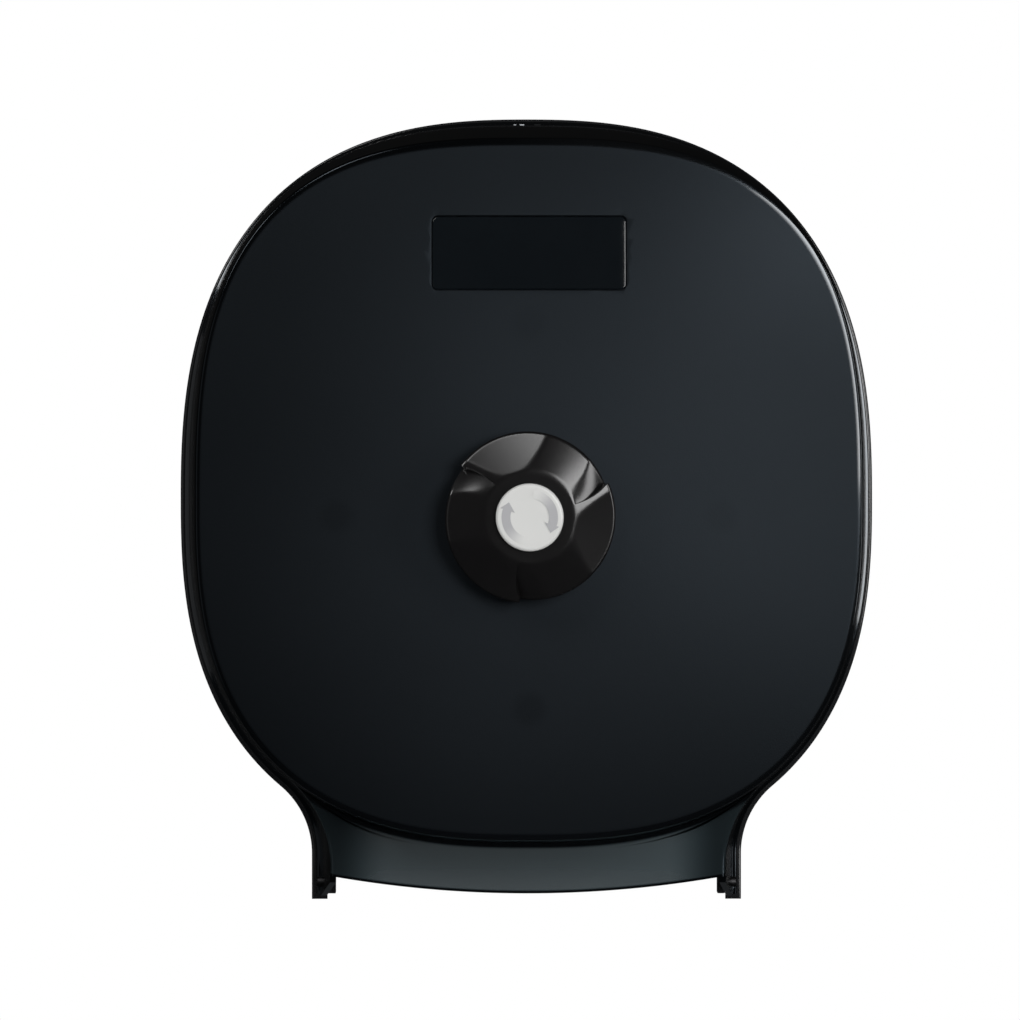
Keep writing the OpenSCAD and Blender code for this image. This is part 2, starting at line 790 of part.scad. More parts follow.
// Two flat arrows that show the way the carousel turns.
module knob_arrows() color(grey) upright()
    for (turn = [0, 180])
        translate([0, 0, knob_top + button_rise - 0.2])
            rotate(turn + 160) {
                rotate_extrude(angle = 88)
                    translate([0.57*button_r, 0]) square([0.26*button_r, 0.2]);
                linear_extrude(0.2)
                    polygon([
                        [0.47*button_r, 0.1], [0.72*button_r, -0.3*button_r], [0.93*button_r, 0.1]
                    ]);
            }

module drive_dog() color(white) upright()
    difference() {
        union() {
            ring(dog_r, dog_front - dog_t, dog_front);
            coupling_lugs(90, dog_front - dog_t - coupling_lug_h, dog_front - dog_t + 1);
        }
        translate([-4 - seat, -8 - seat, dog_front - 2 - seat]) cube([8 + 2*seat, 16 + 2*seat, 4]);
        ring(2.1, dog_front - dog_t - 1, dog_front + 1);
        ring(4.3, dog_front - dog_t - 1, dog_front - dog_t + 2.2);
    }

module knob_washer() color(steel) upright()
    ring(dog_r, knob_washer_end - knob_washer_t, knob_washer_end, knob_shaft_r + running);

module knob_screw() color(steel) upright() {
    ring(4, dog_front - dog_t + 0.2, dog_front - dog_t + 2.2);
    ring(2, dog_front - dog_t + 1, dog_front + 10);
}

back_plate();
strike_bracket();
strike_screws();
axle();
axle_screw();
thrust_washer();
hinge_pin_left();
hinge_pin_right();
carousel_arms();
rear_bush();
front_bush();
wave_washer();
axle_clip();
driven_coupling();
spindle_pins();
spindle_clips();
roll_spindle_top();
roll_spindle_right();
roll_spindle_bottom();
roll_spindle_left();
front_cover();
badge_panel();
lock_body();
lock_nut();
knob_body();
knob_button();
knob_arrows();
drive_dog();
knob_washer();
knob_screw();
lock_plug();
lock_cam();
lock_cam_screw();
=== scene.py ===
import json
import math
import bmesh
import bpy
import numpy as np
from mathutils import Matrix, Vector

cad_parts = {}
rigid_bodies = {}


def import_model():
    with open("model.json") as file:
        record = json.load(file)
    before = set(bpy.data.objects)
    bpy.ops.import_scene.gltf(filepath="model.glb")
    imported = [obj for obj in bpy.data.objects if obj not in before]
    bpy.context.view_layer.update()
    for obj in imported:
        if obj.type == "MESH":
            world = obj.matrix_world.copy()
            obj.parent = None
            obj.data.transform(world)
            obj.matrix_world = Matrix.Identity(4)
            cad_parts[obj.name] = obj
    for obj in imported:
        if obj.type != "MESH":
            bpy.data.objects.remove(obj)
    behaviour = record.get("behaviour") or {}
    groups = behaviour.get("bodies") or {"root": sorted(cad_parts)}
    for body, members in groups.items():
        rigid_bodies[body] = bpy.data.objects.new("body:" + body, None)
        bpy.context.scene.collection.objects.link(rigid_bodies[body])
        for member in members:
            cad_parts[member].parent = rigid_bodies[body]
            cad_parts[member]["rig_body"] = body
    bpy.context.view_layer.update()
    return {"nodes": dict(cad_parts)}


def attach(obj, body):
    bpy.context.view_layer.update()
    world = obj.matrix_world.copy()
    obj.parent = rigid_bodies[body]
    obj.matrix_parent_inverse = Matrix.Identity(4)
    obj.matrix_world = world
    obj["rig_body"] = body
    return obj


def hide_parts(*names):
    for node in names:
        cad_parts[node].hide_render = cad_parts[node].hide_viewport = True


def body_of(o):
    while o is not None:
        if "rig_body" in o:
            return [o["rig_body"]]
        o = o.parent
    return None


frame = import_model()


# ---- Studio ----
# The dispenser hangs in the air, as on a wall, over a pale floor. A long lens looks at it
# almost straight on; square soft lights stand in front of it to the right, to the left and above.

eye = bpy.data.objects.new("camera", bpy.data.cameras.new("camera"))
eye.data.sensor_width = 36
eye.data.lens = 236.9
eye.data.clip_end = 60
eye.location = (-0.0223, -2.9, 0.0506)
eye.rotation_euler = (Vector((-0.0071, 0, 0)) - eye.location).to_track_quat("-Z", "Y").to_euler()
bpy.context.scene.collection.objects.link(eye)
bpy.context.scene.camera = eye
bpy.context.scene.view_settings.view_transform = "Standard"


def softbox(name, place, width, height, radiance, aim=(0, -0.15, 0)):
    lamp = bpy.data.lights.new(name, "AREA")
    lamp.shape = "RECTANGLE"
    lamp.size, lamp.size_y = width, height
    lamp.energy = radiance * math.pi * width * height
    holder = bpy.data.objects.new(name, lamp)
    holder.location = place
    holder.rotation_euler = (Vector(aim) - Vector(place)).to_track_quat("-Z", "Y").to_euler()
    holder.visible_camera = False
    bpy.context.scene.collection.objects.link(holder)


softbox("softbox_key", (0.85, -2.14, 0.38), 0.8, 0.8, 9.6)
softbox("softbox_side", (1.86, -1.28, 0.26), 0.5, 1.4, 7.5)
softbox("softbox_above", (-0.66, -1.65, 1.47), 0.4, 0.7, 7.5)
softbox("softbox_left", (-1.65, -1.05, 1.15), 0.7, 0.7, 8.0)
softbox("fill_left", (-2.2, -1.9, -0.1), 1.6, 1.6, 0.25, aim=(0, -0.1, 0))


def links(tree, *pairs):
    for out, into in pairs:
        tree.links.new(out, into)


def span(node, low, high, start, end):
    """Sets a map range node: low to high becomes start to end."""
    for key, value in (("From Min", low), ("From Max", high), ("To Min", start), ("To Max", end)):
        node.inputs[key].default_value = value


def studio_world():
    """White to the eye, and for the surfaces a dim room that is lighter in front than behind."""
    world = bpy.data.worlds.new("studio")
    world.use_nodes = True
    tree = world.node_tree
    tree.nodes.clear()
    place = tree.nodes.new("ShaderNodeTexCoord")
    split = tree.nodes.new("ShaderNodeSeparateXYZ")
    shade = tree.nodes.new("ShaderNodeMapRange")
    span(shade, -0.35, 0.75, 0.045, 0.004)
    room = tree.nodes.new("ShaderNodeBackground")
    room.inputs["Color"].default_value = (0.97, 0.985, 1.0, 1)
    white = tree.nodes.new("ShaderNodeBackground")
    white.inputs["Color"].default_value = (1, 1, 1, 1)
    white.inputs["Strength"].default_value = 1
    ray = tree.nodes.new("ShaderNodeLightPath")
    mix = tree.nodes.new("ShaderNodeMixShader")
    out = tree.nodes.new("ShaderNodeOutputWorld")
    links(
        tree,
        (place.outputs["Generated"], split.inputs[0]),
        (split.outputs["Y"], shade.inputs["Value"]),
        (shade.outputs["Result"], room.inputs["Strength"]),
        (ray.outputs["Is Camera Ray"], mix.inputs[0]),
        (room.outputs[0], mix.inputs[1]),
        (white.outputs[0], mix.inputs[2]),
        (mix.outputs[0], out.inputs[0]),
    )
    bpy.context.scene.world = world


studio_world()


def floor_paint():
    """Matt to the eye and fading into the white room; dark in reflections; clear from below."""
    paint = bpy.data.materials.new("pale_floor")
    paint.use_nodes = True
    tree = paint.node_tree
    tree.nodes.clear()
    place = tree.nodes.new("ShaderNodeTexCoord")
    away = tree.nodes.new("ShaderNodeVectorMath")
    away.operation = "LENGTH"
    fade = tree.nodes.new("ShaderNodeMapRange")
    span(fade, 1.2, 3.4, 0.6, 1)
    lift = tree.nodes.new("ShaderNodeMath")
    lift.operation = "MULTIPLY"
    matt = tree.nodes.new("ShaderNodeBsdfDiffuse")
    matt.inputs["Color"].default_value = (0.86, 0.86, 0.85, 1)
    shade = tree.nodes.new("ShaderNodeEmission")
    shade.inputs["Color"].default_value = (0.024, 0.026, 0.028, 1)
    glow = tree.nodes.new("ShaderNodeEmission")
    glow.inputs["Color"].default_value = (1, 1, 1, 1)
    clear = tree.nodes.new("ShaderNodeBsdfTransparent")
    ray = tree.nodes.new("ShaderNodeLightPath")
    side = tree.nodes.new("ShaderNodeNewGeometry")
    dark = tree.nodes.new("ShaderNodeMixShader")
    both = tree.nodes.new("ShaderNodeMixShader")
    under = tree.nodes.new("ShaderNodeMixShader")
    out = tree.nodes.new("ShaderNodeOutputMaterial")
    links(
        tree,
        (place.outputs["Object"], away.inputs[0]),
        (away.outputs["Value"], fade.inputs["Value"]),
        (ray.outputs["Is Camera Ray"], lift.inputs[0]),
        (fade.outputs["Result"], lift.inputs[1]),
        (ray.outputs["Is Glossy Ray"], dark.inputs[0]),
        (matt.outputs[0], dark.inputs[1]),
        (shade.outputs[0], dark.inputs[2]),
        (lift.outputs[0], both.inputs[0]),
        (dark.outputs[0], both.inputs[1]),
        (glow.outputs[0], both.inputs[2]),
        (side.outputs["Backfacing"], under.inputs[0]),
        (both.outputs[0], under.inputs[1]),
        (clear.outputs[0], under.inputs[2]),
        (under.outputs[0], out.inputs[0]),
    )
    return paint


def pale_floor():
    """Takes the soft shadow under the dispenser."""
    corner, drop = 5.0, -0.95
    plane = bpy.data.meshes.new("floor")
    ring = [(-corner, -corner), (corner, -corner), (corner, corner), (-corner, corner)]
    plane.from_pydata([(x, y, drop) for x, y in ring], [], [(0, 1, 2, 3)])
    plane.materials.append(floor_paint())
    floor = bpy.data.objects.new("floor", plane)
    bpy.context.scene.collection.objects.link(floor)


pale_floor()


# ---- Back plate ----
# One moulding in black plastic, screwed to the wall. Its flange shows as a thin rounded edge
# all round the cover, and two legs come down beside the way out for the paper.

MM = 0.001
CASE_W, CASE_TOP, BELLY_DROP, LEG_DROP = 298.5, 168.5, 148.5, 168   # heights are from the axle
MID = 4                         # height of the round outline's widest place
SQUARE = 2.55                   # 2 is an ellipse; above that the corners fill out
FACE_SQUARE, BELLY_SQUARE = 0.30, 0.05   # what the face adds to it, above and below the middle
SIDE_SHARE = 0.79               # the sides stand in by this share of the belly's draft
TOP_SHARE, TOP_CURVE = 0.50, 0.0252      # the top starts with less, and falls away to the front
NECK_W, BLEND_R = 185.4, 38
FACE_DEPTH, DOME_RISE = 141, 13
FACE_INSET, EDGE_R, EDGE_W = 14.9, 1.6, 2.2
REVEAL, COVER_REAR, COVER_WALL = 3.4, 4.5, 2.6
THROAT_DEPTH, THROAT_DROP, THROAT_END, THROAT_ARCH = 80, 159.9, 153.4, 475
FLANGE_T, HINGE_DROP, HINGE_DEPTH = 4, 160, 11
DRAFT = (FACE_INSET - REVEAL) / (FACE_DEPTH - EDGE_R - COVER_REAR)
LOCK_DEPTH, LOCK_R, LOCK_LENGTH = 26, 8, 9
LOCK_SEAT = CASE_TOP - 5.43     # the lock's collar sits in the top of the cover
STRIKE_MID = LOCK_SEAT - LOCK_LENGTH - 2.5 - 0.5 - 0.3 - 1   # below its nut, two gaps and half the cam
CROWN_STEPS, SIDE_STEPS = 220, 36


def smooth(t):
    t = min(max(t, 0), 1)
    return t * t * (3 - 2 * t)


def inset_at(depth):
    """How far the cover's outside stands in from the flange's edge, at a distance from the wall."""
    return REVEAL + (depth - COVER_REAR) * DRAFT


def squareness_at(inset, up):
    """The outline gets squarer from the flange's edge to the face's, most of all above the middle."""
    return SQUARE + (FACE_SQUARE if up else BELLY_SQUARE) * inset / FACE_INSET


def half_sizes(inset, up):
    """Half width and height of the round outline: its sides and top stand in less than its belly."""
    width = CASE_W / 2 - SIDE_SHARE * inset
    if up:
        return width, CASE_TOP - MID - (TOP_SHARE + TOP_CURVE * inset) * inset
    return width, BELLY_DROP + MID - inset


def rim(angle, inset):
    """Point of the round outline in a direction given in degrees."""
    c, s = math.cos(math.radians(angle)), math.sin(math.radians(angle))
    a, b = half_sizes(inset, s >= 0)
    n = squareness_at(inset, s >= 0)
    r = ((abs(c) / a) ** n + (abs(s) / b) ** n) ** (-1 / n)
    return np.array([r * c, MID + r * s])


def rim_normal(angle, inset):
    """Which way the round outline faces there."""
    p = rim(angle, inset) - [0, MID]
    a, b = half_sizes(inset, p[1] >= 0)
    n = squareness_at(inset, p[1] >= 0)
    g = np.array([
        math.copysign((abs(p[0]) / a) ** (n - 1) / a, p[0]),
        math.copysign((abs(p[1]) / b) ** (n - 1) / b, p[1]),
    ])
    return g / np.linalg.norm(g)


def blend_angle(inset):
    """Direction in which the round outline runs into the throat's side."""
    low, high = -85.0, -15.0
    for _ in range(40):
        t = (low + high) / 2
        gap = rim(t, inset)[0] + (BLEND_R + inset) * (rim_normal(t, inset)[0] - 1) - NECK_W / 2 + inset
        low, high = (low, t) if gap > 0 else (t, high)
    return (low + high) / 2


def fades():
    """1 along the throat's side, falling to 0 where it meets the round outline."""
    return [smooth((SIDE_STEPS + 1 - i) / (0.4 * SIDE_STEPS)) for i in range(SIDE_STEPS + 2)]


def throat_side(inset, foot, extra=0):
    """Right side from the foot up into the round outline; extra narrows it by that much below."""
    t = blend_angle(inset)
    n = rim_normal(t, inset)
    r = BLEND_R + inset
    c = rim(t, inset) + r * n
    end = math.degrees(math.atan2(-n[1], -n[0])) % 360
    fade = fades()
    points = [np.array([NECK_W / 2 - inset - extra * fade[0], -foot])]
    for i in range(SIDE_STEPS + 1):
        a = math.radians(180 + (end - 180) * i / SIDE_STEPS)
        points.append(c + (r + extra * fade[i + 1]) * np.array([math.cos(a), math.sin(a)]))
    return points


def belly_side(inset, t, extra=0):
    """The same for the round belly in front of the throat, from beside its lowest point."""
    fade = fades()
    start = -89.4
    points = []
    for i in range(SIDE_STEPS + 2):
        a = start + (t - start) * i / (SIDE_STEPS + 1)
        points.append(rim(a, inset) - extra * fade[i] * rim_normal(a, inset))
    return points


def closed(side, t, inset):
    """A side, the round crown above it and the same side mirrored, all in one turn."""
    crown = [rim(t + (180 - 2 * t) * i / CROWN_STEPS, inset) for i in range(1, CROWN_STEPS)]
    return np.array(side + crown + [p * [-1, 1] for p in reversed(side)])


def throat_outline(inset, foot=LEG_DROP, extra=0):
    return closed(throat_side(inset, foot, extra), blend_angle(inset), inset)


def belly_outline(inset, t, extra=0):
    return closed(belly_side(inset, t, extra), t, inset)


def stood_up(points):
    """From (right, up, out of the wall) in millimetres to the scene's metres."""
    p = np.asarray(points, float)
    return np.column_stack([p[:, 0], -p[:, 2], p[:, 1]]) * MM


def mesh_object(name, points, faces, weld=1e-7):
    mesh = bpy.data.meshes.new(name)
    mesh.from_pydata([tuple(p) for p in points], [], faces)
    shape = bmesh.new()
    shape.from_mesh(mesh)
    bmesh.ops.remove_doubles(shape, verts=shape.verts, dist=weld)
    bmesh.ops.dissolve_degenerate(shape, edges=shape.edges, dist=weld)
    bmesh.ops.recalc_face_normals(shape, faces=shape.faces)
    shape.to_mesh(mesh)
    shape.free()
    piece = bpy.data.objects.new(name, mesh)
    bpy.context.scene.collection.objects.link(piece)
    return piece


def loft(name, rings, first=None, last=None):
    """Closed solid through rings of equal length, in (right, up, out); its ends close to a point."""
    count = len(rings[0])
    points = np.concatenate(rings)
    faces = []
    for k in range(len(rings) - 1):
        a, b = k * count, (k + 1) * count
        faces += [(a + j, a + (j + 1) % count, b + (j + 1) % count, b + j) for j in range(count)]
    first = np.mean(rings[0], axis=0) if first is None else first
    last = np.mean(rings[-1], axis=0) if last is None else last
    points = np.vstack([points, first, last])
    end, top = len(points) - 2, (len(rings) - 1) * count
    faces += [(end, (j + 1) % count, j) for j in range(count)]
    faces += [(end + 1, top + j, top + (j + 1) % count) for j in range(count)]
    return mesh_object(name, stood_up(points), faces)


def level(outline, depth):
    """An outline of (right, up) at one distance from the wall."""
    outline = np.asarray(outline, float)
    return np.column_stack([outline, np.full(len(outline), float(depth))])


def turned(name, profile, centre=(0, 0), steps=96, along="out"):
    """Turned solid from a profile of (radius, distance), about an axis out of the wall, up or right."""
    rings = []
    for r, d in profile:
        a = np.linspace(0, 2 * math.pi, steps, endpoint=False)
        u, v, w = r * np.cos(a), r * np.sin(a), np.full(steps, float(d))
        if along == "out":
            rings.append(np.column_stack([centre[0] + u, centre[1] + v, w]))
        elif along == "up":
            rings.append(np.column_stack([centre[0] + v, w, centre[1] + u]))
        else:
            rings.append(np.column_stack([w, centre[0] + u, centre[1] + v]))
    return loft(name, rings)


def disc(name, r, a, b, centre=(0, 0), steps=96, along="out", edge=0):
    """Round bar or cutter from a to b along its axis; edge is its small chamfer."""
    profile = [(r - edge, a), (r, a + edge), (r, b - edge), (r - edge, b)] if edge else [(r, a), (r, b)]
    return turned(name, profile, centre, steps, along)


def block(name, low, high):
    (x0, y0, z0), (x1, y1, z1) = low, high
    square = [(x0, y0), (x1, y0), (x1, y1), (x0, y1)]
    return loft(name, [level(square, z0), level(square, z1)])


def plate(name, outline, a, b):
    """Flat solid of any simple outline, kept as two many-sided faces and its sides."""
    count = len(outline)
    points = np.concatenate([level(outline, a), level(outline, b)])
    faces = [tuple(reversed(range(count))), tuple(range(count, 2 * count))]
    faces += [(j, (j + 1) % count, count + (j + 1) % count, count + j) for j in range(count)]
    return mesh_object(name, stood_up(points), faces)


def side_plate(name, outline, a, b):
    """The same for an outline of (distance from the wall, height), from x = a to x = b."""
    count = len(outline)
    points = [(a, y, d) for d, y in outline] + [(b, y, d) for d, y in outline]
    faces = [tuple(range(count)), tuple(reversed(range(count, 2 * count)))]
    faces += [(j, count + j, count + (j + 1) % count, (j + 1) % count) for j in range(count)]
    return mesh_object(name, stood_up(points), faces)


def plain_mesh(piece, name):
    """The piece with its modifiers made real, as a new object."""
    seen = piece.evaluated_get(bpy.context.evaluated_depsgraph_get())
    mesh = bpy.data.meshes.new_from_object(seen)
    made = bpy.data.objects.new(name, mesh)
    bpy.context.scene.collection.objects.link(made)
    mesh.name = name
    old = piece.data
    bpy.data.objects.remove(piece)
    if old.users == 0:
        bpy.data.meshes.remove(old)
    return made


def copies_tree(name, sizes):
    """Start of a tree that sets copies of a piece on points, made real and in the piece's finish."""
    tree = bpy.data.node_groups.new(name, "GeometryNodeTree")
    tree.is_modifier = True
    sockets = [("Piece", "NodeSocketGeometry"), *sizes, ("Finish", "NodeSocketMaterial")]
    for label, kind in sockets:
        tree.interface.new_socket(label, in_out="INPUT", socket_type=kind)
    tree.interface.new_socket("Copies", in_out="OUTPUT", socket_type="NodeSocketGeometry")
    given = tree.nodes.new("NodeGroupInput")
    put = tree.nodes.new("GeometryNodeInstanceOnPoints")
    real = tree.nodes.new("GeometryNodeRealizeInstances")
    finish = tree.nodes.new("GeometryNodeSetMaterial")
    out = tree.nodes.new("NodeGroupOutput")
    links(
        tree,
        (given.outputs["Piece"], put.inputs["Instance"]),
        (put.outputs[0], real.inputs[0]),
        (real.outputs[0], finish.inputs["Geometry"]),
        (given.outputs["Finish"], finish.inputs["Material"]),
        (finish.outputs[0], out.inputs[0]),
    )
    return tree, given, put


def copies_round_axis():
    """Copies turned about the axle, each by the same angle from the last."""
    sizes = [("Count", "NodeSocketInt"), ("Turn", "NodeSocketFloat")]
    tree, given, put = copies_tree("copies_round_axis", sizes)
    points = tree.nodes.new("GeometryNodePoints")
    order = tree.nodes.new("GeometryNodeInputIndex")
    angle = tree.nodes.new("ShaderNodeMath")
    angle.operation = "MULTIPLY"
    turn = tree.nodes.new("FunctionNodeAxisAngleToRotation")
    turn.inputs["Axis"].default_value = (0, 1, 0)
    links(
        tree,
        (given.outputs["Count"], points.inputs["Count"]),
        (points.outputs[0], put.inputs["Points"]),
        (order.outputs[0], angle.inputs[0]),
        (given.outputs["Turn"], angle.inputs[1]),
        (angle.outputs[0], turn.inputs["Angle"]),
        (turn.outputs[0], put.inputs["Rotation"]),
    )
    return tree


def copies_at_corners():
    """Copies at the four corners of an upright rectangle round the axle."""
    sizes = [("Width", "NodeSocketFloat"), ("Height", "NodeSocketFloat")]
    tree, given, put = copies_tree("copies_at_corners", sizes)
    corners = tree.nodes.new("GeometryNodeMeshGrid")
    corners.inputs["Vertices X"].default_value = 2
    corners.inputs["Vertices Y"].default_value = 2
    upright = tree.nodes.new("GeometryNodeTransform")
    upright.inputs["Rotation"].default_value = (math.pi / 2, 0, 0)
    links(
        tree,
        (given.outputs["Width"], corners.inputs["Size X"]),
        (given.outputs["Height"], corners.inputs["Size Y"]),
        (corners.outputs["Mesh"], upright.inputs["Geometry"]),
        (upright.outputs[0], put.inputs["Points"]),
    )
    return tree


ROUND_AXIS, AT_CORNERS = copies_round_axis(), copies_at_corners()


def repeated(piece, name, tree, **sizes):
    """The piece's copies as one plain mesh."""
    copies = piece.modifiers.new("copies", "NODES")
    copies.node_group = tree
    for socket in tree.interface.items_tree:
        if socket.in_out == "INPUT" and socket.name in sizes:
            copies[socket.identifier] = sizes[socket.name]
    return plain_mesh(piece, name)


def carved(piece, steps):
    """Adds and cuts the other solids in turn: steps are ("+" or "-", solid)."""
    for sign, other in steps:
        change = piece.modifiers.new(other.name, "BOOLEAN")
        change.operation = "UNION" if sign == "+" else "DIFFERENCE"
        change.solver = "EXACT"
        change.object = other
    made = plain_mesh(piece, piece.name.replace("_blank", ""))
    for _, other in steps:
        mesh = other.data
        bpy.data.objects.remove(other)
        bpy.data.meshes.remove(mesh)
    return made


def smoothed(piece, angle):
    """Smooth shading that keeps the edges sharper than the angle."""
    piece.data.shade_smooth()
    piece.data.set_sharp_from_angle(angle=math.radians(angle))
    return piece


def surface_group():
    """Moulded or rubbed surface: fine grain, cloudy colour and uneven gloss."""
    tree = bpy.data.node_groups.new("moulded_surface", "ShaderNodeTree")
    face = tree.interface
    for name, kind, start in (
        ("Vector", "NodeSocketVector", None),
        ("Colour", "NodeSocketColor", (0.02, 0.02, 0.02, 1)),
        ("Roughness", "NodeSocketFloat", 0.3),
        ("Grain Scale", "NodeSocketFloat", 2500),
        ("Grain Depth", "NodeSocketFloat", 0.1),
        ("Cloud Scale", "NodeSocketFloat", 25),
        ("Clouds", "NodeSocketFloat", 0.1),
        ("Rub", "NodeSocketFloat", 0.04),
    ):
        socket = face.new_socket(name, in_out="INPUT", socket_type=kind)
        if start is not None:
            socket.default_value = start
    face.new_socket("Colour", in_out="OUTPUT", socket_type="NodeSocketColor")
    face.new_socket("Roughness", in_out="OUTPUT", socket_type="NodeSocketFloat")
    face.new_socket("Normal", in_out="OUTPUT", socket_type="NodeSocketVector")
    given = tree.nodes.new("NodeGroupInput")
    out = tree.nodes.new("NodeGroupOutput")
    grain = tree.nodes.new("ShaderNodeTexNoise")
    grain.inputs["Detail"].default_value = 1
    cloud = tree.nodes.new("ShaderNodeTexNoise")
    cloud.inputs["Detail"].default_value = 4
    cloud.inputs["Roughness"].default_value = 0.6
    bump = tree.nodes.new("ShaderNodeBump")
    bump.inputs["Distance"].default_value = 0.0002
    centred = tree.nodes.new("ShaderNodeMath")
    centred.operation = "SUBTRACT"
    centred.inputs[1].default_value = 0.5
    shade = tree.nodes.new("ShaderNodeMath")
    shade.operation = "MULTIPLY_ADD"
    shade.inputs[2].default_value = 1
    tint = tree.nodes.new("ShaderNodeVectorMath")
    tint.operation = "SCALE"
    gloss = tree.nodes.new("ShaderNodeMath")
    gloss.operation = "MULTIPLY_ADD"
    links(
        tree,
        (given.outputs["Vector"], grain.inputs["Vector"]),
        (given.outputs["Vector"], cloud.inputs["Vector"]),
        (given.outputs["Grain Scale"], grain.inputs["Scale"]),
        (given.outputs["Cloud Scale"], cloud.inputs["Scale"]),
        (grain.outputs["Fac"], bump.inputs["Height"]),
        (given.outputs["Grain Depth"], bump.inputs["Strength"]),
        (cloud.outputs["Fac"], centred.inputs[0]),
        (centred.outputs[0], shade.inputs[0]),
        (given.outputs["Clouds"], shade.inputs[1]),
        (given.outputs["Colour"], tint.inputs[0]),
        (shade.outputs[0], tint.inputs["Scale"]),
        (centred.outputs[0], gloss.inputs[0]),
        (given.outputs["Rub"], gloss.inputs[1]),
        (given.outputs["Roughness"], gloss.inputs[2]),
        (tint.outputs[0], out.inputs["Colour"]),
        (gloss.outputs[0], out.inputs["Roughness"]),
        (bump.outputs[0], out.inputs["Normal"]),
    )
    return tree


MOULDED = surface_group()


def moulded(name, colour, roughness, metallic=0.0, ior=1.5, **values):
    """Material with the moulded surface in it; returns it, its tree, group node and shader."""
    paint = bpy.data.materials.new(name)
    paint.use_nodes = True
    tree = paint.node_tree
    shader = tree.nodes["Principled BSDF"]
    place = tree.nodes.new("ShaderNodeTexCoord")
    surface = tree.nodes.new("ShaderNodeGroup")
    surface.node_tree = MOULDED
    surface.inputs["Colour"].default_value = (*colour, 1)
    surface.inputs["Roughness"].default_value = roughness
    for key, value in values.items():
        surface.inputs[key.replace("_", " ").title()].default_value = value
    shader.inputs["Metallic"].default_value = metallic
    shader.inputs["IOR"].default_value = ior
    links(
        tree,
        (place.outputs["Object"], surface.inputs["Vector"]),
        (surface.outputs["Colour"], shader.inputs["Base Color"]),
        (surface.outputs["Roughness"], shader.inputs["Roughness"]),
        (surface.outputs["Normal"], shader.inputs["Normal"]),
    )
    return paint, tree, surface, shader


def painted(piece, paint):
    piece.data.materials.clear()
    piece.data.materials.append(paint)
    return piece


black_plastic = moulded(
    "black_moulded_plastic", (0.012, 0.0125, 0.0135), 0.14,
    grain_scale=1600, grain_depth=0.05, cloud_scale=18, clouds=0.3, rub=0.12,
)[0]


def arc(centre, r, start, end, steps):
    """Points round a centre from one angle to another, in degrees."""
    a = np.radians(np.linspace(start, end, steps + 1))
    return [(centre[0] + r * math.cos(t), centre[1] + r * math.sin(t)) for t in a]


def flange():
    """The plate itself, with a small chamfer behind and a soft crown round its front edge."""
    chamfer = 0.4
    rings = [level(throat_outline(chamfer, LEG_DROP - chamfer), 0), level(throat_outline(0), chamfer)]
    crown = (
        (0, 2.7), (0.03, 2.95), (0.1, 3.17), (0.22, 3.38), (0.4, 3.56), (0.65, 3.71),
        (0.95, 3.83), (1.3, 3.92), (1.65, 3.975), (2.0, FLANGE_T), (2.6, FLANGE_T),
    )
    for inset, depth in crown:
        rings.append(level(throat_outline(inset, LEG_DROP - inset), depth))
    return loft("back_plate_blank", rings, [0, MID, 0], [0, MID, FLANGE_T])


LUG_OUT = NECK_W / 2 - inset_at(HINGE_DEPTH + 5) - COVER_WALL - 0.4
LUG_IN = LUG_OUT - 3


def way_out():
    """The opening between the legs; it steps in above the feet and has round upper corners."""
    leg_in, foot, corner, height = NECK_W / 2 - 6.7, -LEG_DROP - 2, 20, -138
    return (
        [(-leg_in, foot), (leg_in, foot), (leg_in, foot + 5), (LUG_IN, foot + 5)]
        + arc((LUG_IN - corner, height), corner, 0, 90, 16)
        + arc((corner - LUG_IN, height), corner, 90, 180, 16)
        + [(-LUG_IN, foot + 5), (-leg_in, foot + 5)]
    )


def rim_wall(side):
    """Half of the wall that stands just inside the cover, from its shoulder to near its top."""
    thick, inset = 2.4, inset_at(FLANGE_T + 18) + COVER_WALL + 0.8
    outer, inner = [], []
    for a in np.linspace(-60, 90, 400):
        p = rim(a, inset)
        if p[1] >= -50 and p[0] >= 16:
            outer.append(p * [side, 1])
            inner.append(rim(a, inset + thick) * [side, 1])
    return plate("rim_wall", (outer + inner[::-1])[::side], 3.5, 22)


def ribs():
    """Four ribs from the boss along the plate; their tops are shorter than their feet."""
    half, start, rings = 1.2, 13, []
    c, s = math.cos(math.radians(45)), math.sin(math.radians(45))
    for end, depth in ((47, 3), (47, 7), (41, 11)):
        corners = ((start, half), (start, -half), (end, -half), (end, half))
        rings.append(level([(x * c - y * s, x * s + y * c) for x, y in corners], depth))
    return repeated(loft("rib", rings), "ribs", ROUND_AXIS, Count=4, Turn=math.pi / 2, Finish=black_plastic)


def hinge_lug(side):
    outline = [(3, -165)] + arc((HINGE_DEPTH, -HINGE_DROP), 5, -90, 0, 16) + [(16, -155), (3, -145)]
    return side_plate("lug", outline, *sorted((side * LUG_IN, side * LUG_OUT)))


def pin_way(side, r):
    """Cutter for a hinge pin's hole."""
    return disc("pin_way", r, *sorted((side * 74, side * 96)), (-HINGE_DROP, HINGE_DEPTH), 48, "right")


def at_wall_screws(piece, name):
    return repeated(piece, name, AT_CORNERS, Width=120 * MM, Height=130 * MM, Finish=black_plastic)


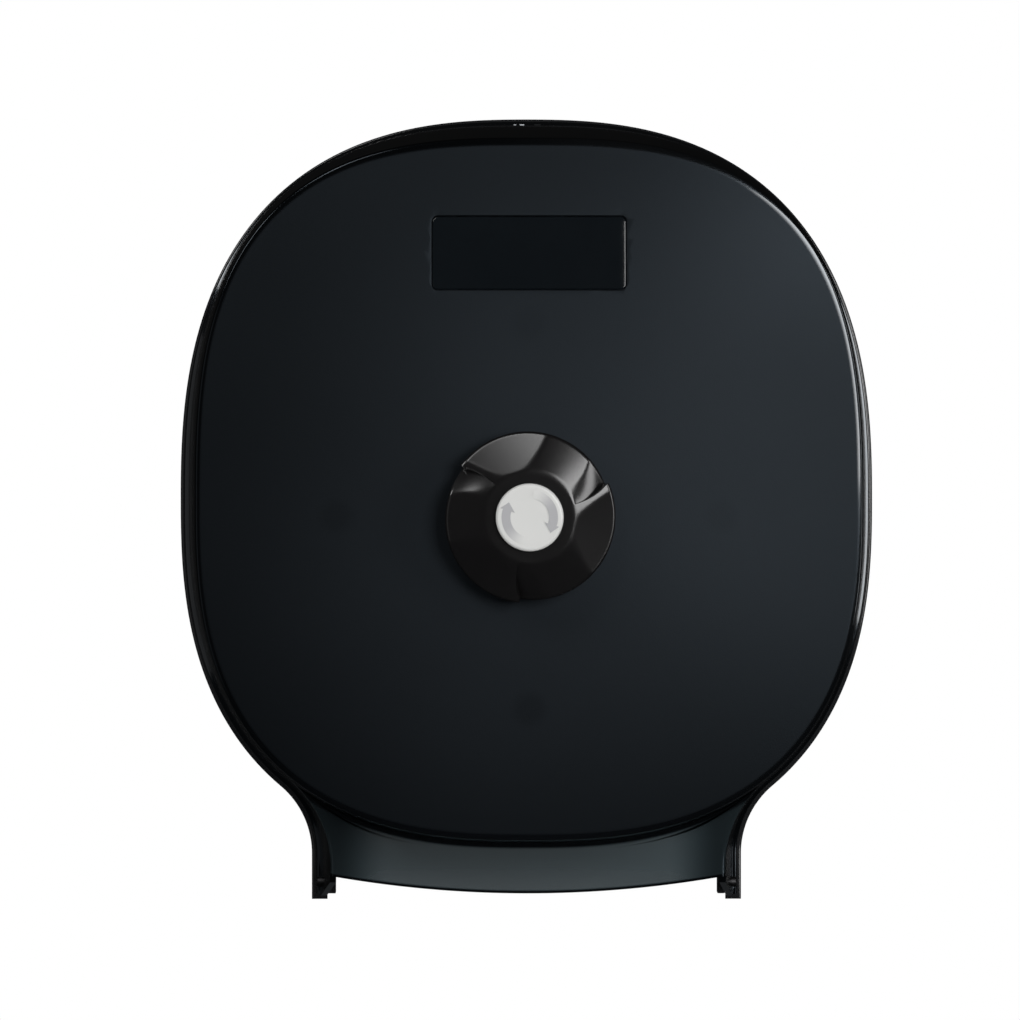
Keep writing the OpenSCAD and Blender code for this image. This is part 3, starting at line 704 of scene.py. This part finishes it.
def back_plate():
    return smoothed(carved(flange(), [
        ("-", plate("way", way_out(), -1, 5)),
        ("+", disc("boss", 16, 3, 14, edge=0.6)),
        *(("+", rim_wall(side)) for side in (-1, 1)),
        ("+", ribs()),
        ("+", at_wall_screws(disc("pad", 7, 3, 6, steps=64, edge=0.4), "pads")),
        *(("+", hinge_lug(side)) for side in (-1, 1)),
        ("-", disc("axle_seat", 5.05, 4, 15)),
        ("-", disc("axle_screw_way", 2.7, -1, 5, steps=48)),
        ("-", disc("axle_screw_seat", 4.7, -1, 2.7, steps=64)),
        ("-", at_wall_screws(disc("screw_way", 2.7, -1, 7, steps=48), "screw_ways")),
        *(("-", disc("strike_way", 1.55, 0.8, 5, (x, STRIKE_MID - 7), 32)) for x in (4, 15)),
        *(("-", pin_way(side, 2.25)) for side in (-1, 1)),
    ]), 30)


wall_plate = painted(back_plate(), black_plastic)
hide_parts("back_plate")
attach(wall_plate, "base")


# ---- Front cover ----
# Smoked plastic, one deep moulding about 2.6 mm thick: glossy sides, a domed front face with a
# fine satin texture, and a flat wall under the face that the paper comes down behind.

LIP, LIP_DEPTH = 1.5, 9
KNOB_PAD = 2                    # thickness of the pad behind the knob
# (in, back) from the drum's side, round its narrow chamfer, to the start of the face.
FACE_EDGE = (
    (0, -EDGE_R), (0.06, -1.15), (0.18, -0.8), (0.34, -0.56), (0.5, -0.43),
    (0.66, -0.325), (0.78, -0.275), (1.3, -0.162), (1.75, -0.078), (EDGE_W, 0),
)
# (out, back) along the lip's chamfer, down to the side.
LIP_CHAMFER = (
    (1.46, 0.75), (1.38, 0.58), (1.26, 0.47), (0.95, 0.355), (0.6, 0.24),
    (0.3, 0.14), (0.14, 0.088), (0.03, 0.045), (0, 0),
)


def cover_volume(name, grow, rear, foot, fine):
    """Solid bounded by the cover's outside, or by its inside where grow is its wall."""
    throat = THROAT_DEPTH - grow
    inset = inset_at(THROAT_DEPTH) + grow
    t = blend_angle(inset)
    round_r, fillet_r = (1.4, 2.6) if fine else (0.4, 0.4)
    bends = 6 if fine else 2
    rings = []
    if fine:
        # A low lip runs round the rear of the sides, with a chamfer along its front.
        for back, out in ((0, LIP - 0.35), (0.12, LIP - 0.1), (0.4, LIP), (LIP_DEPTH - 1.15 - rear, LIP)):
            rings.append(level(throat_outline(inset_at(rear + back) - out, foot), rear + back))
        for out, back in LIP_CHAMFER:
            rings.append(level(throat_outline(inset_at(LIP_DEPTH) - out, foot), LIP_DEPTH - back))
    for d in np.linspace(LIP_DEPTH + 0.3 if fine else rear, throat - round_r, 9):
        rings.append(level(throat_outline(inset_at(d) + grow, foot), d))
    for i in range(1, bends + 1):
        a = math.radians(90 * i / bends)
        d = throat - round_r * (1 - math.sin(a))
        rings.append(level(throat_outline(inset_at(d + grow) + grow, foot, round_r * (1 - math.cos(a))), d))
    rings.append(level(throat_outline(inset, foot, round_r + 1), throat))
    rings.append(level(belly_outline(inset, t, -fillet_r - 1), throat))
    for i in range(bends + 1):
        a = math.radians(90 * i / bends)
        d = throat + fillet_r * (1 - math.cos(a))
        rings.append(level(belly_outline(inset_at(d + grow) + grow, t, -fillet_r * (1 - math.sin(a))), d))
    side_end = FACE_DEPTH - EDGE_R - grow
    for d in np.linspace(throat + fillet_r, side_end, 10)[1:-1]:
        rings.append(level(belly_outline(inset_at(d + grow) + grow, t), d))
    for i, d in FACE_EDGE:
        rings.append(level(belly_outline(FACE_INSET + i + grow, t), FACE_DEPTH + d - grow))
    face = belly_outline(FACE_INSET + EDGE_W + grow, t)
    for s in 1 - np.linspace(0, 1, 40 if fine else 20)[1:-1] ** 0.9:
        shrunk = face * s + [0, MID * (1 - s)]
        rings.append(level(shrunk, FACE_DEPTH - grow + DOME_RISE * (1 - s * s)))
    return loft(name, rings, [0, MID, rear], [0, MID, FACE_DEPTH - grow + DOME_RISE])


def face_height(x, y):
    """Distance of the domed face from the wall."""
    across = np.hypot(x, y - MID)
    if across < 1e-6:
        return FACE_DEPTH + DOME_RISE
    edge = rim(math.degrees(math.atan2(y - MID, x)), FACE_INSET + EDGE_W) - [0, MID]
    return FACE_DEPTH + DOME_RISE * (1 - (across / np.linalg.norm(edge)) ** 2)


BADGE_W, BADGE_H, BADGE_R = 79.4, 30, 2.2
BADGE_Z, BADGE_LEAN, BADGE_CUT, BADGE_SLACK = 107.8, 7, 1.8, 0.2
FACE_UP = 150.5                 # from the middle of the face to its upper edge
BADGE_DEPTH = FACE_DEPTH + DOME_RISE * (1 - ((BADGE_Z - MID) / FACE_UP) ** 2) - BADGE_CUT


def on_badge(x, y, z):
    """From the badge's own flat frame to (right, up, out)."""
    c, s = math.cos(math.radians(BADGE_LEAN)), math.sin(math.radians(BADGE_LEAN))
    return np.array([x, BADGE_Z + y * c + z * s, BADGE_DEPTH - y * s + z * c])


def rounded_rectangle(w, h, r, steps=10, along=24):
    """Points round it, with more of them along its straight sides so that it can follow a curve."""
    points = []
    for (sx, sy), start in zip(((1, 1), (-1, 1), (-1, -1), (1, -1)), (0, 90, 180, 270)):
        points += arc((sx * (w / 2 - r), sy * (h / 2 - r)), r, start, start + 90, steps)
        (x, y), side = points[-1], w - 2 * r if start in (0, 180) else h - 2 * r
        dx, dy = ((-1, 0), (0, -1), (1, 0), (0, 1))[start // 90]
        points += [(x + dx * side * i / along, y + dy * side * i / along) for i in range(1, along)]
    return points


def badge_recess():
    """Cutter for the recess, flared at its mouth so that the moulding's edge comes out round."""
    w, h, r = BADGE_W + 2 * BADGE_SLACK, BADGE_H + 2 * BADGE_SLACK, BADGE_R + BADGE_SLACK
    round_r = 0.6
    heights = []
    for x, y in rounded_rectangle(w, h, r):
        z = 1.0
        for _ in range(6):
            p = on_badge(x, y, z)
            z += face_height(p[0], p[1]) - p[2]
        heights.append(z)
    rings = [[on_badge(x, y, 0) for x, y in rounded_rectangle(w, h, r)]]
    for a in np.radians((0, 18, 36, 54, 70, 82)):
        grow, drop = round_r * (1 - math.cos(a)), round_r * (1 - math.sin(a))
        outline = rounded_rectangle(w + 2 * grow, h + 2 * grow, r + grow)
        rings.append([on_badge(x, y, z - drop) for (x, y), z in zip(outline, heights)])
    outline = rounded_rectangle(w + 2 * round_r + 1, h + 2 * round_r + 1, r + round_r + 0.5)
    rings.append([on_badge(x, y, z + 0.15) for (x, y), z in zip(outline, heights)])
    return loft("badge_recess", [np.array(r) for r in rings], on_badge(0, 0, 0), on_badge(0, 0, 4))


def below_sides():
    """What is trimmed off below the cover's sides; the ears stay round the hinge axis."""
    run, rise = THROAT_DEPTH - HINGE_DEPTH, HINGE_DROP - THROAT_END
    slope = math.degrees(math.atan2(rise, run))
    ear_r, past, under = 6, 20, -210
    tangent = slope - math.degrees(math.acos(ear_r / math.hypot(run, rise)))
    ear = arc((HINGE_DEPTH, -HINGE_DROP), ear_r, 180, 360 + tangent, 32)
    far = (THROAT_DEPTH + past, -THROAT_END + past * rise / run)
    outline = [(-10, under), (-10, -HINGE_DROP)] + ear + [far, (THROAT_DEPTH + past, under)]
    inner = NECK_W / 2 - inset_at(THROAT_DEPTH) - COVER_WALL
    return [side_plate("below_side", outline, *sorted((side * inner, side * 170))) for side in (-1, 1)]


def below_throat():
    """What is trimmed off below the throat's wall, up to its arched lower edge."""
    half, under = 160, -215
    depth = THROAT_DEPTH - COVER_WALL - 3
    reach = math.degrees(math.asin(half / THROAT_ARCH))
    arch = arc((0, THROAT_ARCH - THROAT_DROP), THROAT_ARCH, 270 - reach, 270 + reach, 90)
    return plate("below_throat", [(-half, under), (half, under)] + arch[::-1], depth, depth + 40)


def badge_back():
    """Floor of the recess behind the badge, wider than the opening."""
    outline = rounded_rectangle(BADGE_W + 4, BADGE_H + 4, 2, 4, 2)
    return loft("badge_back", [np.array([on_badge(x, y, z) for x, y in outline]) for z in (-2, 0.2)])


def lock_head_way():
    """Round recess for the lock's collar, flared at its mouth."""
    profile = [(9.45, 0), (9.45, 1.5), (9.7, 1.8), (11, 2.4), (11, 8)]
    return turned("lock_head_way", [(r, LOCK_SEAT + d) for r, d in profile], (0, LOCK_DEPTH), 96, "up")


def front_cover():
    inside = FACE_DEPTH + DOME_RISE - COVER_WALL
    at_lock, lock_end = (0, LOCK_DEPTH), LOCK_SEAT - LOCK_LENGTH
    blank = cover_volume("front_cover_blank", 0, COVER_REAR, LEG_DROP + 12, True)
    return smoothed(carved(blank, [
        ("-", cover_volume("cover_inside", COVER_WALL, -1, LEG_DROP + 20, False)),
        ("+", disc("knob_pad", 16, inside - KNOB_PAD, inside + 1.2)),
        ("+", badge_back()),
        ("+", disc("lock_boss", LOCK_R + 3, lock_end, LOCK_SEAT + 0.6, at_lock, 64, "up")),
        *(("-", trim) for trim in below_sides()),
        ("-", below_throat()),
        ("-", disc("knob_way", 10.06, inside - 5, FACE_DEPTH + DOME_RISE + 5)),
        ("-", badge_recess()),
        ("-", lock_head_way()),
        ("-", disc("lock_way", LOCK_R + 0.05, lock_end - 1, LOCK_SEAT + 1, at_lock, 64, "up")),
        *(("-", pin_way(side, 2.26)) for side in (-1, 1)),
    ]), 28)


def math_node(tree, operation, a, b=None, c=None):
    node = tree.nodes.new("ShaderNodeMath")
    node.operation = operation
    for i, value in enumerate((a, b, c)):
        if value is None:
            continue
        if isinstance(value, (int, float)):
            node.inputs[i].default_value = value
        else:
            tree.links.new(value, node.inputs[i])
    return node.outputs[0]


def times(tree, *values):
    """All the values multiplied."""
    total = values[0]
    for value in values[1:]:
        total = math_node(tree, "MULTIPLY", total, value)
    return total


def less(tree, weight, mask, share):
    """The weight, with this share of it taken away where the mask is 1."""
    return times(tree, weight, math_node(tree, "MULTIPLY_ADD", mask, -share, 1.0))


def ramp(tree, value, low, high, start=0.0, end=1.0):
    """value from low to high becomes start to end, smoothly, and stays there outside."""
    node = tree.nodes.new("ShaderNodeMapRange")
    node.interpolation_type = "SMOOTHSTEP"
    span(node, low, high, start, end)
    tree.links.new(value, node.inputs["Value"])
    return node.outputs["Result"]


def apart(tree, a, b):
    """Length of the flat vector (a, b)."""
    flat = tree.nodes.new("ShaderNodeCombineXYZ")
    length = tree.nodes.new("ShaderNodeVectorMath")
    length.operation = "LENGTH"
    links(tree, (a, flat.inputs[0]), (b, flat.inputs[1]), (flat.outputs[0], length.inputs[0]))
    return length.outputs["Value"]


def axes(tree):
    """Where a point of the piece is, in metres: to the right, in from the front, up."""
    place = next(n for n in tree.nodes if n.type == "TEX_COORD")
    split = tree.nodes.new("ShaderNodeSeparateXYZ")
    tree.links.new(place.outputs["Object"], split.inputs[0])
    return split.outputs


def painted_spindle_shade(tree, x, z):
    """Painted shade: darker spots on the face where the ends of the four roll spindles would show very
    faintly through it.
    """
    ring, spindle_shade_spots = 0.079, None
    for mx, mz in ((0, ring), (ring, 0), (0, -ring), (-ring, 0)):
        away = apart(tree, math_node(tree, "SUBTRACT", x, mx), math_node(tree, "SUBTRACT", z, mz))
        spot = ramp(tree, away, 0.003, 0.0095, 1, 0)
        spindle_shade_spots = spot if spindle_shade_spots is None else math_node(tree, "MAXIMUM", spindle_shade_spots, spot)
    return spindle_shade_spots


def throat_mask(tree, x, y, z):
    """1 on the throat's wall a little below the belly's round outline, which leaves a band of painted shade
    under the belly, but 0 along its dark lower edge.
    """
    inset = inset_at(THROAT_DEPTH)
    sizes, squareness = half_sizes(inset, False), squareness_at(inset, False)
    outline = 0.0
    for value, size in zip((x, math_node(tree, "SUBTRACT", z, MID * MM)), sizes):
        share = math_node(tree, "DIVIDE", math_node(tree, "ABSOLUTE", value), size * MM)
        outline = math_node(tree, "ADD", math_node(tree, "POWER", share, squareness), outline)
    reach = apart(tree, x, math_node(tree, "SUBTRACT", z, (THROAT_ARCH - THROAT_DROP) * MM))
    return times(
        tree,
        ramp(tree, outline, 1.025, 1.055),
        ramp(tree, y, -0.076, -0.0775),
        ramp(tree, z, -0.100, -0.095, 1, 0),
        ramp(tree, reach, (THROAT_ARCH - 1.5) * MM, (THROAT_ARCH - 0.7) * MM, 1, 0),
    )


def smoked_plastic():
    paint, tree, surface, shader = moulded(
        "smoked_plastic", (0.0036, 0.0043, 0.0052), 0.36, ior=1.56,
        grain_scale=1900, grain_depth=0.10, cloud_scale=9, clouds=0.35, rub=0.05,
    )
    shader.inputs["Specular Tint"].default_value = (0.70, 0.85, 1.0, 1)
    shader.inputs["Specular IOR Level"].default_value = 0.22
    shader.inputs["Coat Roughness"].default_value = 0.06
    x, y, z = axes(tree)
    crease = (-0.1412, -0.1409)

    # The face is satin, a little less so at its top. The sides are glossy, but not round the
    # throat, nor on the left of the crease, nor far along the right side.
    rough = times(tree, ramp(tree, y, *crease, 0.50, 0.13), ramp(tree, z, 0.05, 0.15, 1, 0.84))
    left = times(tree, ramp(tree, y, -0.1400, -0.1395, 1, 0), ramp(tree, x, -0.02, 0.03, 1, 0))
    right = times(
        tree,
        ramp(tree, y, -0.1385, -0.1345),
        ramp(tree, y, -0.013, -0.010, 1, 0),
        ramp(tree, x, 0.03, 0.08),
    )
    coat = times(tree, ramp(tree, y, *crease), ramp(tree, z, -0.130, -0.105, 0.15, 1))
    coat = less(tree, less(tree, coat, left, 0.85), right, 0.8)

    # Painted light and shade: the face's colour is made lighter in the middle, standing in for grey light
    # from inside coming through, and darker towards its edge.
    # Painted shade: the spindle spots darken the face's colour, on the face only.
    spindle_shade_spots = times(tree, painted_spindle_shade(tree, x, z), ramp(tree, y, *crease, 1, 0))
    middle = apart(tree, x, math_node(tree, "MULTIPLY_ADD", z, 0.9, 0.02))
    glow = math_node(tree, "MULTIPLY_ADD", ramp(tree, middle, 0.03, 0.15), -1.45, 1.6)
    tint = tree.nodes.new("ShaderNodeVectorMath")
    tint.operation = "SCALE"

    # The throat's wall has nothing behind it, so daylight comes through it: partly as real see-through, and
    # partly as painted light, a lighter blue-grey colour mixed into the wall's colour. Both fall off
    # towards its ends, which paints shade there.
    wall = throat_mask(tree, x, y, z)
    ends = ramp(tree, math_node(tree, "ABSOLUTE", x), 0.058, 0.081, 1, 0)
    see = times(tree, wall, ramp(tree, z, -0.160, -0.145, 0.17, 0.12), ends)
    painted_daylight = tree.nodes.new("ShaderNodeMix")
    painted_daylight.data_type = "RGBA"
    painted_daylight.inputs[7].default_value = (0.045, 0.064, 0.072, 1)
    links(
        tree,
        (rough, surface.inputs["Roughness"]),
        (ramp(tree, y, *crease, 0.12, 0), surface.inputs["Grain Depth"]),
        (coat, shader.inputs["Coat Weight"]),
        (surface.outputs["Colour"], tint.inputs[0]),
        (less(tree, glow, spindle_shade_spots, 0.4), tint.inputs["Scale"]),
        (times(tree, wall, math_node(tree, "MULTIPLY_ADD", ends, 0.75, 0.25)), painted_daylight.inputs[0]),
        (tint.outputs[0], painted_daylight.inputs[6]),
        (painted_daylight.outputs[2], shader.inputs["Base Color"]),
        (math_node(tree, "SUBTRACT", 1.0, see), shader.inputs["Alpha"]),
    )
    return paint


cover = painted(front_cover(), smoked_plastic())
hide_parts("front_cover")
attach(cover, "cover")


# ---- Badge ----
# Bare panel in dark glossy plastic, pressed into the recess above the knob.

def badge_panel():
    rings = []
    for grow, z in ((-0.25, 0), (0, 0.2), (0, 0.6), (-0.08, 0.82), (-0.25, 0.96), (-0.5, 1.0), (-3, 1.0)):
        outline = rounded_rectangle(BADGE_W + 2 * grow, BADGE_H + 2 * grow, max(BADGE_R + grow, 0.3))
        rings.append(np.array([on_badge(x, y, z) for x, y in outline]))
    return smoothed(loft("badge_panel", rings, on_badge(0, 0, 0), on_badge(0, 0, 1.0)), 40)


badge_gloss = moulded(
    "badge_gloss", (0.0030, 0.0046, 0.0062), 0.10,
    grain_scale=900, grain_depth=0.01, cloud_scale=30, clouds=0.2, rub=0.08,
)[0]
badge = painted(badge_panel(), badge_gloss)
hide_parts("badge_panel")
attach(badge, "cover")


# ---- Knob ----
# Glossy black moulding that turns the carousel: three scooped blades, each ending in a step,
# round a flat collar. Its shaft goes through the face and is held from behind.

KNOB_R, KNOB_H, COLLAR_R, INNER_R, BUTTON_R = 35.2, 17.5, 19, 16.4, 13.8
BLADE_TURN, FACET_AT, FACET_REACH, FACET_SLOPE = 23, 92.7, 17, 21
KNOB_BASE = FACE_DEPTH + DOME_RISE + 0.3
KNOB_TOP = FACE_DEPTH + DOME_RISE + KNOB_H
# The shaft ends behind the face's pad and the washer, with a little play.
SHAFT_END = FACE_DEPTH + DOME_RISE - COVER_WALL - KNOB_PAD - 0.15 - 1.2 - 0.05


def mix(a, b, t):
    return a + (b - a) * t


def step_angle(v):
    """The steps between the blades are curves: they lean back towards the collar."""
    return BLADE_TURN - 7 * (1 - v) - 9 * v * (1 - v)


def round_max(a, b, soft):
    """The larger of two heights, with a small round where they cross."""
    h = np.clip(0.5 + 0.5 * (a - b) / soft, 0, 1)
    return b + (a - b) * h + soft * h * (1 - h)


def grip_drop(r, turn, blade, local):
    """How far the grip lies below its flat collar: a scoop after each step, then a facet."""
    before = 20 - local
    rise = 0.25 + 0.00725 * (before + np.sqrt(before * before + 4))
    scoop = (r - COLLAR_R) * rise
    lie = np.radians(turn - (BLADE_TURN + 120 * blade + FACET_AT))
    facet = math.tan(math.radians(FACET_SLOPE)) * (r * np.cos(lie) - FACET_REACH)
    facet = facet - 0.0015 * np.maximum(0, r * np.sin(lie) + 22) ** 2
    return round_max(round_max(scoop, facet, 0.25), 0 * scoop, 0.35)


def grip_ring(v, lower=0.0, outer=0.0):
    """One ring of the grip: v runs from inside the collar to the rim."""
    points = []
    near, far = [0, 0.0015, 0.004, 0.008], [0.99, 0.995, 0.998, 1]
    us = np.concatenate([near, np.linspace(0.014, 0.984, 116), far])
    for blade in range(3):
        radius = mix(INNER_R, KNOB_R * (1 - 0.045 * (1 - us) ** 2) - 1.0, v)
        turn = step_angle(v) + 120 * blade + 0.7 + 119.3 * us
        drop = grip_drop(radius, turn, blade, turn - step_angle(v) - 120 * blade)
        a, r = np.radians(turn), radius + outer
        points.append(np.column_stack([r * np.cos(a), r * np.sin(a), KNOB_TOP - drop - lower]))
    return np.vstack(points)


def knob_grip():
    rings = [grip_ring(v) for v in np.linspace(0, 1, 44)]
    for a in np.radians([15, 30, 45, 60, 75, 90]):
        rings.append(grip_ring(1, 1 - math.cos(a) + 0.35 * math.sin(a), math.sin(a)))
    for lift, tuck in ((0.8, 0), (0.25, 0.12), (0, 0.5)):
        foot = rings[-1].copy()
        foot[:, :2] *= 1 - tuck / KNOB_R
        foot[:, 2] = KNOB_BASE + lift
        rings.append(foot)
    return loft("knob_body_blank", rings[::-1], [0, 0, KNOB_BASE], [0, 0, KNOB_TOP])


def knob_body():
    tongue = block("tongue", (-4, -8, SHAFT_END - 2), (4, 8, SHAFT_END + 1))
    mouth = [(0.15, -3), (0.15, -0.15), (0.35, 0.1), (0.35, 0.5)]
    mouth = [(BUTTON_R + grow, KNOB_TOP + d) for grow, d in mouth]
    return smoothed(carved(knob_grip(), [
        ("+", disc("shaft", 10, SHAFT_END, KNOB_BASE + 2)),
        ("+", tongue),
        ("-", turned("button_way", mouth, steps=160)),
        ("-", disc("screw_way", 2.05, SHAFT_END - 3, SHAFT_END + 11, steps=48)),
    ]), 35)


knob_gloss = moulded(
    "knob_gloss", (0.0060, 0.0056, 0.0058), 0.19,
    grain_scale=1200, grain_depth=0.015, cloud_scale=45, clouds=0.25, rub=0.05,
)[0]
knob = painted(knob_body(), knob_gloss)
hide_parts("knob_body")
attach(knob, "knob")


# ---- Knob button ----
# White cap in the knob's middle with a soft edge and a slight dish, and two printed grey
# arrows that show which way to turn.

BUTTON_WHITE, ARROW_GREY = (0.71, 0.712, 0.697), (0.44, 0.44, 0.455)
ARROW_START, ARROW_SWEEP = 162, 100     # an arrow's head, and the length of its band, in degrees


def knob_button():
    top, soft = KNOB_TOP + 3.3, 1.3
    profile = [(BUTTON_R, KNOB_TOP - 3), (BUTTON_R, top - soft)]
    for a in np.radians([12, 25, 38, 51, 64, 77, 90]):
        profile.append((BUTTON_R - soft * (1 - math.cos(a)), top - soft + soft * math.sin(a)))
    profile += [(r, top - dish) for r, dish in ((11.8, 0.02), (9, 0.12), (6, 0.2), (3, 0.24), (1, 0.25))]
    return smoothed(turned("knob_button", profile, steps=128), 40)


button_white = moulded(
    "button_white", BUTTON_WHITE, 0.3,
    grain_scale=1500, grain_depth=0.02, cloud_scale=60, clouds=0.03, rub=0.05,
)[0]
button = painted(knob_button(), button_white)
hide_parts("knob_button")
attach(button, "knob")


def arrow_ink():
    """Grey at the head and along the first third of the band, fading out to its tail."""
    paint, tree, surface, _ = moulded(
        "arrow_grey", ARROW_GREY, 0.35, grain_scale=1500, grain_depth=0.02, clouds=0.04, rub=0.04,
    )
    x, _, z = axes(tree)
    ahead = 40
    turn = math_node(tree, "SUBTRACT", math_node(tree, "ARCTAN2", z, x), math.radians(ARROW_START - ahead))
    turn = math_node(tree, "FLOORED_MODULO", turn, math.pi)
    fade = ramp(tree, turn, math.radians(ahead + 38), math.radians(ahead + ARROW_SWEEP - 2))
    colour = tree.nodes.new("ShaderNodeMix")
    colour.data_type = "RGBA"
    colour.inputs[6].default_value = (*ARROW_GREY, 1)
    colour.inputs[7].default_value = (*BUTTON_WHITE, 1)
    links(tree, (fade, colour.inputs[0]), (colour.outputs[2], surface.inputs["Colour"]))
    return paint


arrow_grey = arrow_ink()


def knob_arrows():
    """A band with a pointed head, and its copy half a turn on, printed in grey."""
    end, a = ARROW_START + ARROW_SWEEP, math.radians(ARROW_START)
    outline = arc((0, 0), 0.83 * BUTTON_R, ARROW_START, end, 40)
    outline += arc((0, 0), 0.57 * BUTTON_R, ARROW_START, end, 40)[::-1]
    for r, down in ((0.46 * BUTTON_R, 0.1), (0.72 * BUTTON_R, -0.24 * BUTTON_R), (0.91 * BUTTON_R, 0.1)):
        outline.append((r * math.cos(a) - down * math.sin(a), r * math.sin(a) + down * math.cos(a)))
    arrow = plate("arrow", outline, KNOB_TOP + 3.02, KNOB_TOP + 3.36)
    pair = repeated(arrow, "knob_arrows", ROUND_AXIS, Count=2, Turn=math.pi, Finish=arrow_grey)
    return painted(smoothed(pair, 40), arrow_grey)


arrows = knob_arrows()
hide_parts("knob_arrows")
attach(arrows, "knob")


# ---- Inner pieces ----
# The steel, acetal and grey mouldings that carry the rolls and the lock. Their shapes are as
# built, with the small rounded edges that moulding and turning leave.

steel = moulded(
    "plated_steel", (0.56, 0.56, 0.57), 0.26, metallic=1.0,
    grain_scale=2500, grain_depth=0.06, cloud_scale=120, clouds=0.12, rub=0.15,
)[0]
black_steel = moulded(
    "black_steel", (0.045, 0.045, 0.047), 0.46, metallic=1.0,
    grain_scale=2500, grain_depth=0.06, cloud_scale=120, clouds=0.15, rub=0.15,
)[0]
acetal = moulded(
    "white_acetal", (0.62, 0.62, 0.58), 0.38,
    grain_scale=1800, grain_depth=0.05, cloud_scale=40, clouds=0.05, rub=0.06,
)[0]
carousel_plastic = moulded(
    "grey_carousel_plastic", (0.045, 0.047, 0.05), 0.34,
    grain_scale=1500, grain_depth=0.08, cloud_scale=25, clouds=0.2, rub=0.08,
)[0]
spindle_plastic = moulded(
    "spindle_plastic", (0.42, 0.43, 0.44), 0.35,
    grain_scale=1500, grain_depth=0.06, cloud_scale=30, clouds=0.08, rub=0.06,
)[0]

# As they go together: finish, the record's slot, and nodes with the width of their rounded edges.
INNER = (
    (steel, "plated_steel", {
        "strike_bracket": 0.25, "strike_screws": 0.12, "axle": 0.3, "axle_screw": 0.15,
        "axle_clip": 0.1, "thrust_washer": 0.15, "wave_washer": 0.1,
    }),
    (black_steel, "plated_steel", {"hinge_pin_left": 0.3, "hinge_pin_right": 0.3}),
    (carousel_plastic, "carousel_moulding", {"carousel_arms": 0.5}),
    (acetal, "acetal", {"rear_bush": 0.2, "front_bush": 0.2, "driven_coupling": 0.35}),
    (steel, "plated_steel", {"spindle_pins": 0.2, "spindle_clips": 0.1}),
    (spindle_plastic, "spindle_moulding", {
        "roll_spindle_" + place: 0.35 for place in ("top", "right", "bottom", "left")
    }),
    (black_steel, "lock_metal", {"lock_body": 0.2}),
    (steel, "plated_steel", {"lock_nut": 0.2}),
    (black_steel, "lock_metal", {"lock_plug": 0.12}),
    (steel, "plated_steel", {"lock_cam": 0.2, "lock_cam_screw": 0.12}),
    (acetal, "acetal", {"drive_dog": 0.35}),
    (steel, "plated_steel", {"knob_washer": 0.12, "knob_screw": 0.15}),
)


def eased(name, width):
    """The built piece with its sharp edges rounded."""
    node = frame["nodes"][name]
    shape = bmesh.new()
    shape.from_mesh(node.data)
    bmesh.ops.transform(shape, matrix=node.matrix_world, verts=shape.verts)
    bmesh.ops.remove_doubles(shape, verts=shape.verts, dist=1e-6)
    bmesh.ops.dissolve_limit(shape, angle_limit=math.radians(0.5), verts=shape.verts, edges=shape.edges)
    mesh = bpy.data.meshes.new(name + "_eased")
    shape.to_mesh(mesh)
    shape.free()
    piece = bpy.data.objects.new(name + "_eased", mesh)
    bpy.context.scene.collection.objects.link(piece)
    bevel = piece.modifiers.new("edges", "BEVEL")
    bevel.width = width * MM
    bevel.segments = 2
    bevel.limit_method = "ANGLE"
    bevel.angle_limit = math.radians(40)
    bevel.harden_normals = False
    return smoothed(plain_mesh(piece, piece.name), 40)


def spread(mesh):
    points = np.array([v.co for v in mesh.vertices])
    return np.concatenate([points.min(0), points.max(0)])


for finish, slot_name, widths in INNER:
    for name, width in widths.items():
        node = frame["nodes"][name]
        piece = eased(name, width)
        # Where rounding would change a piece's size, as on the thin clip, it stays as built.
        if np.abs(spread(piece.data) - spread(node.data)).max() > 0.02 * MM:
            piece.data = node.data.copy()
        body = body_of(node)[0]
        painted(piece, finish)
        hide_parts(name)
        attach(piece, body)
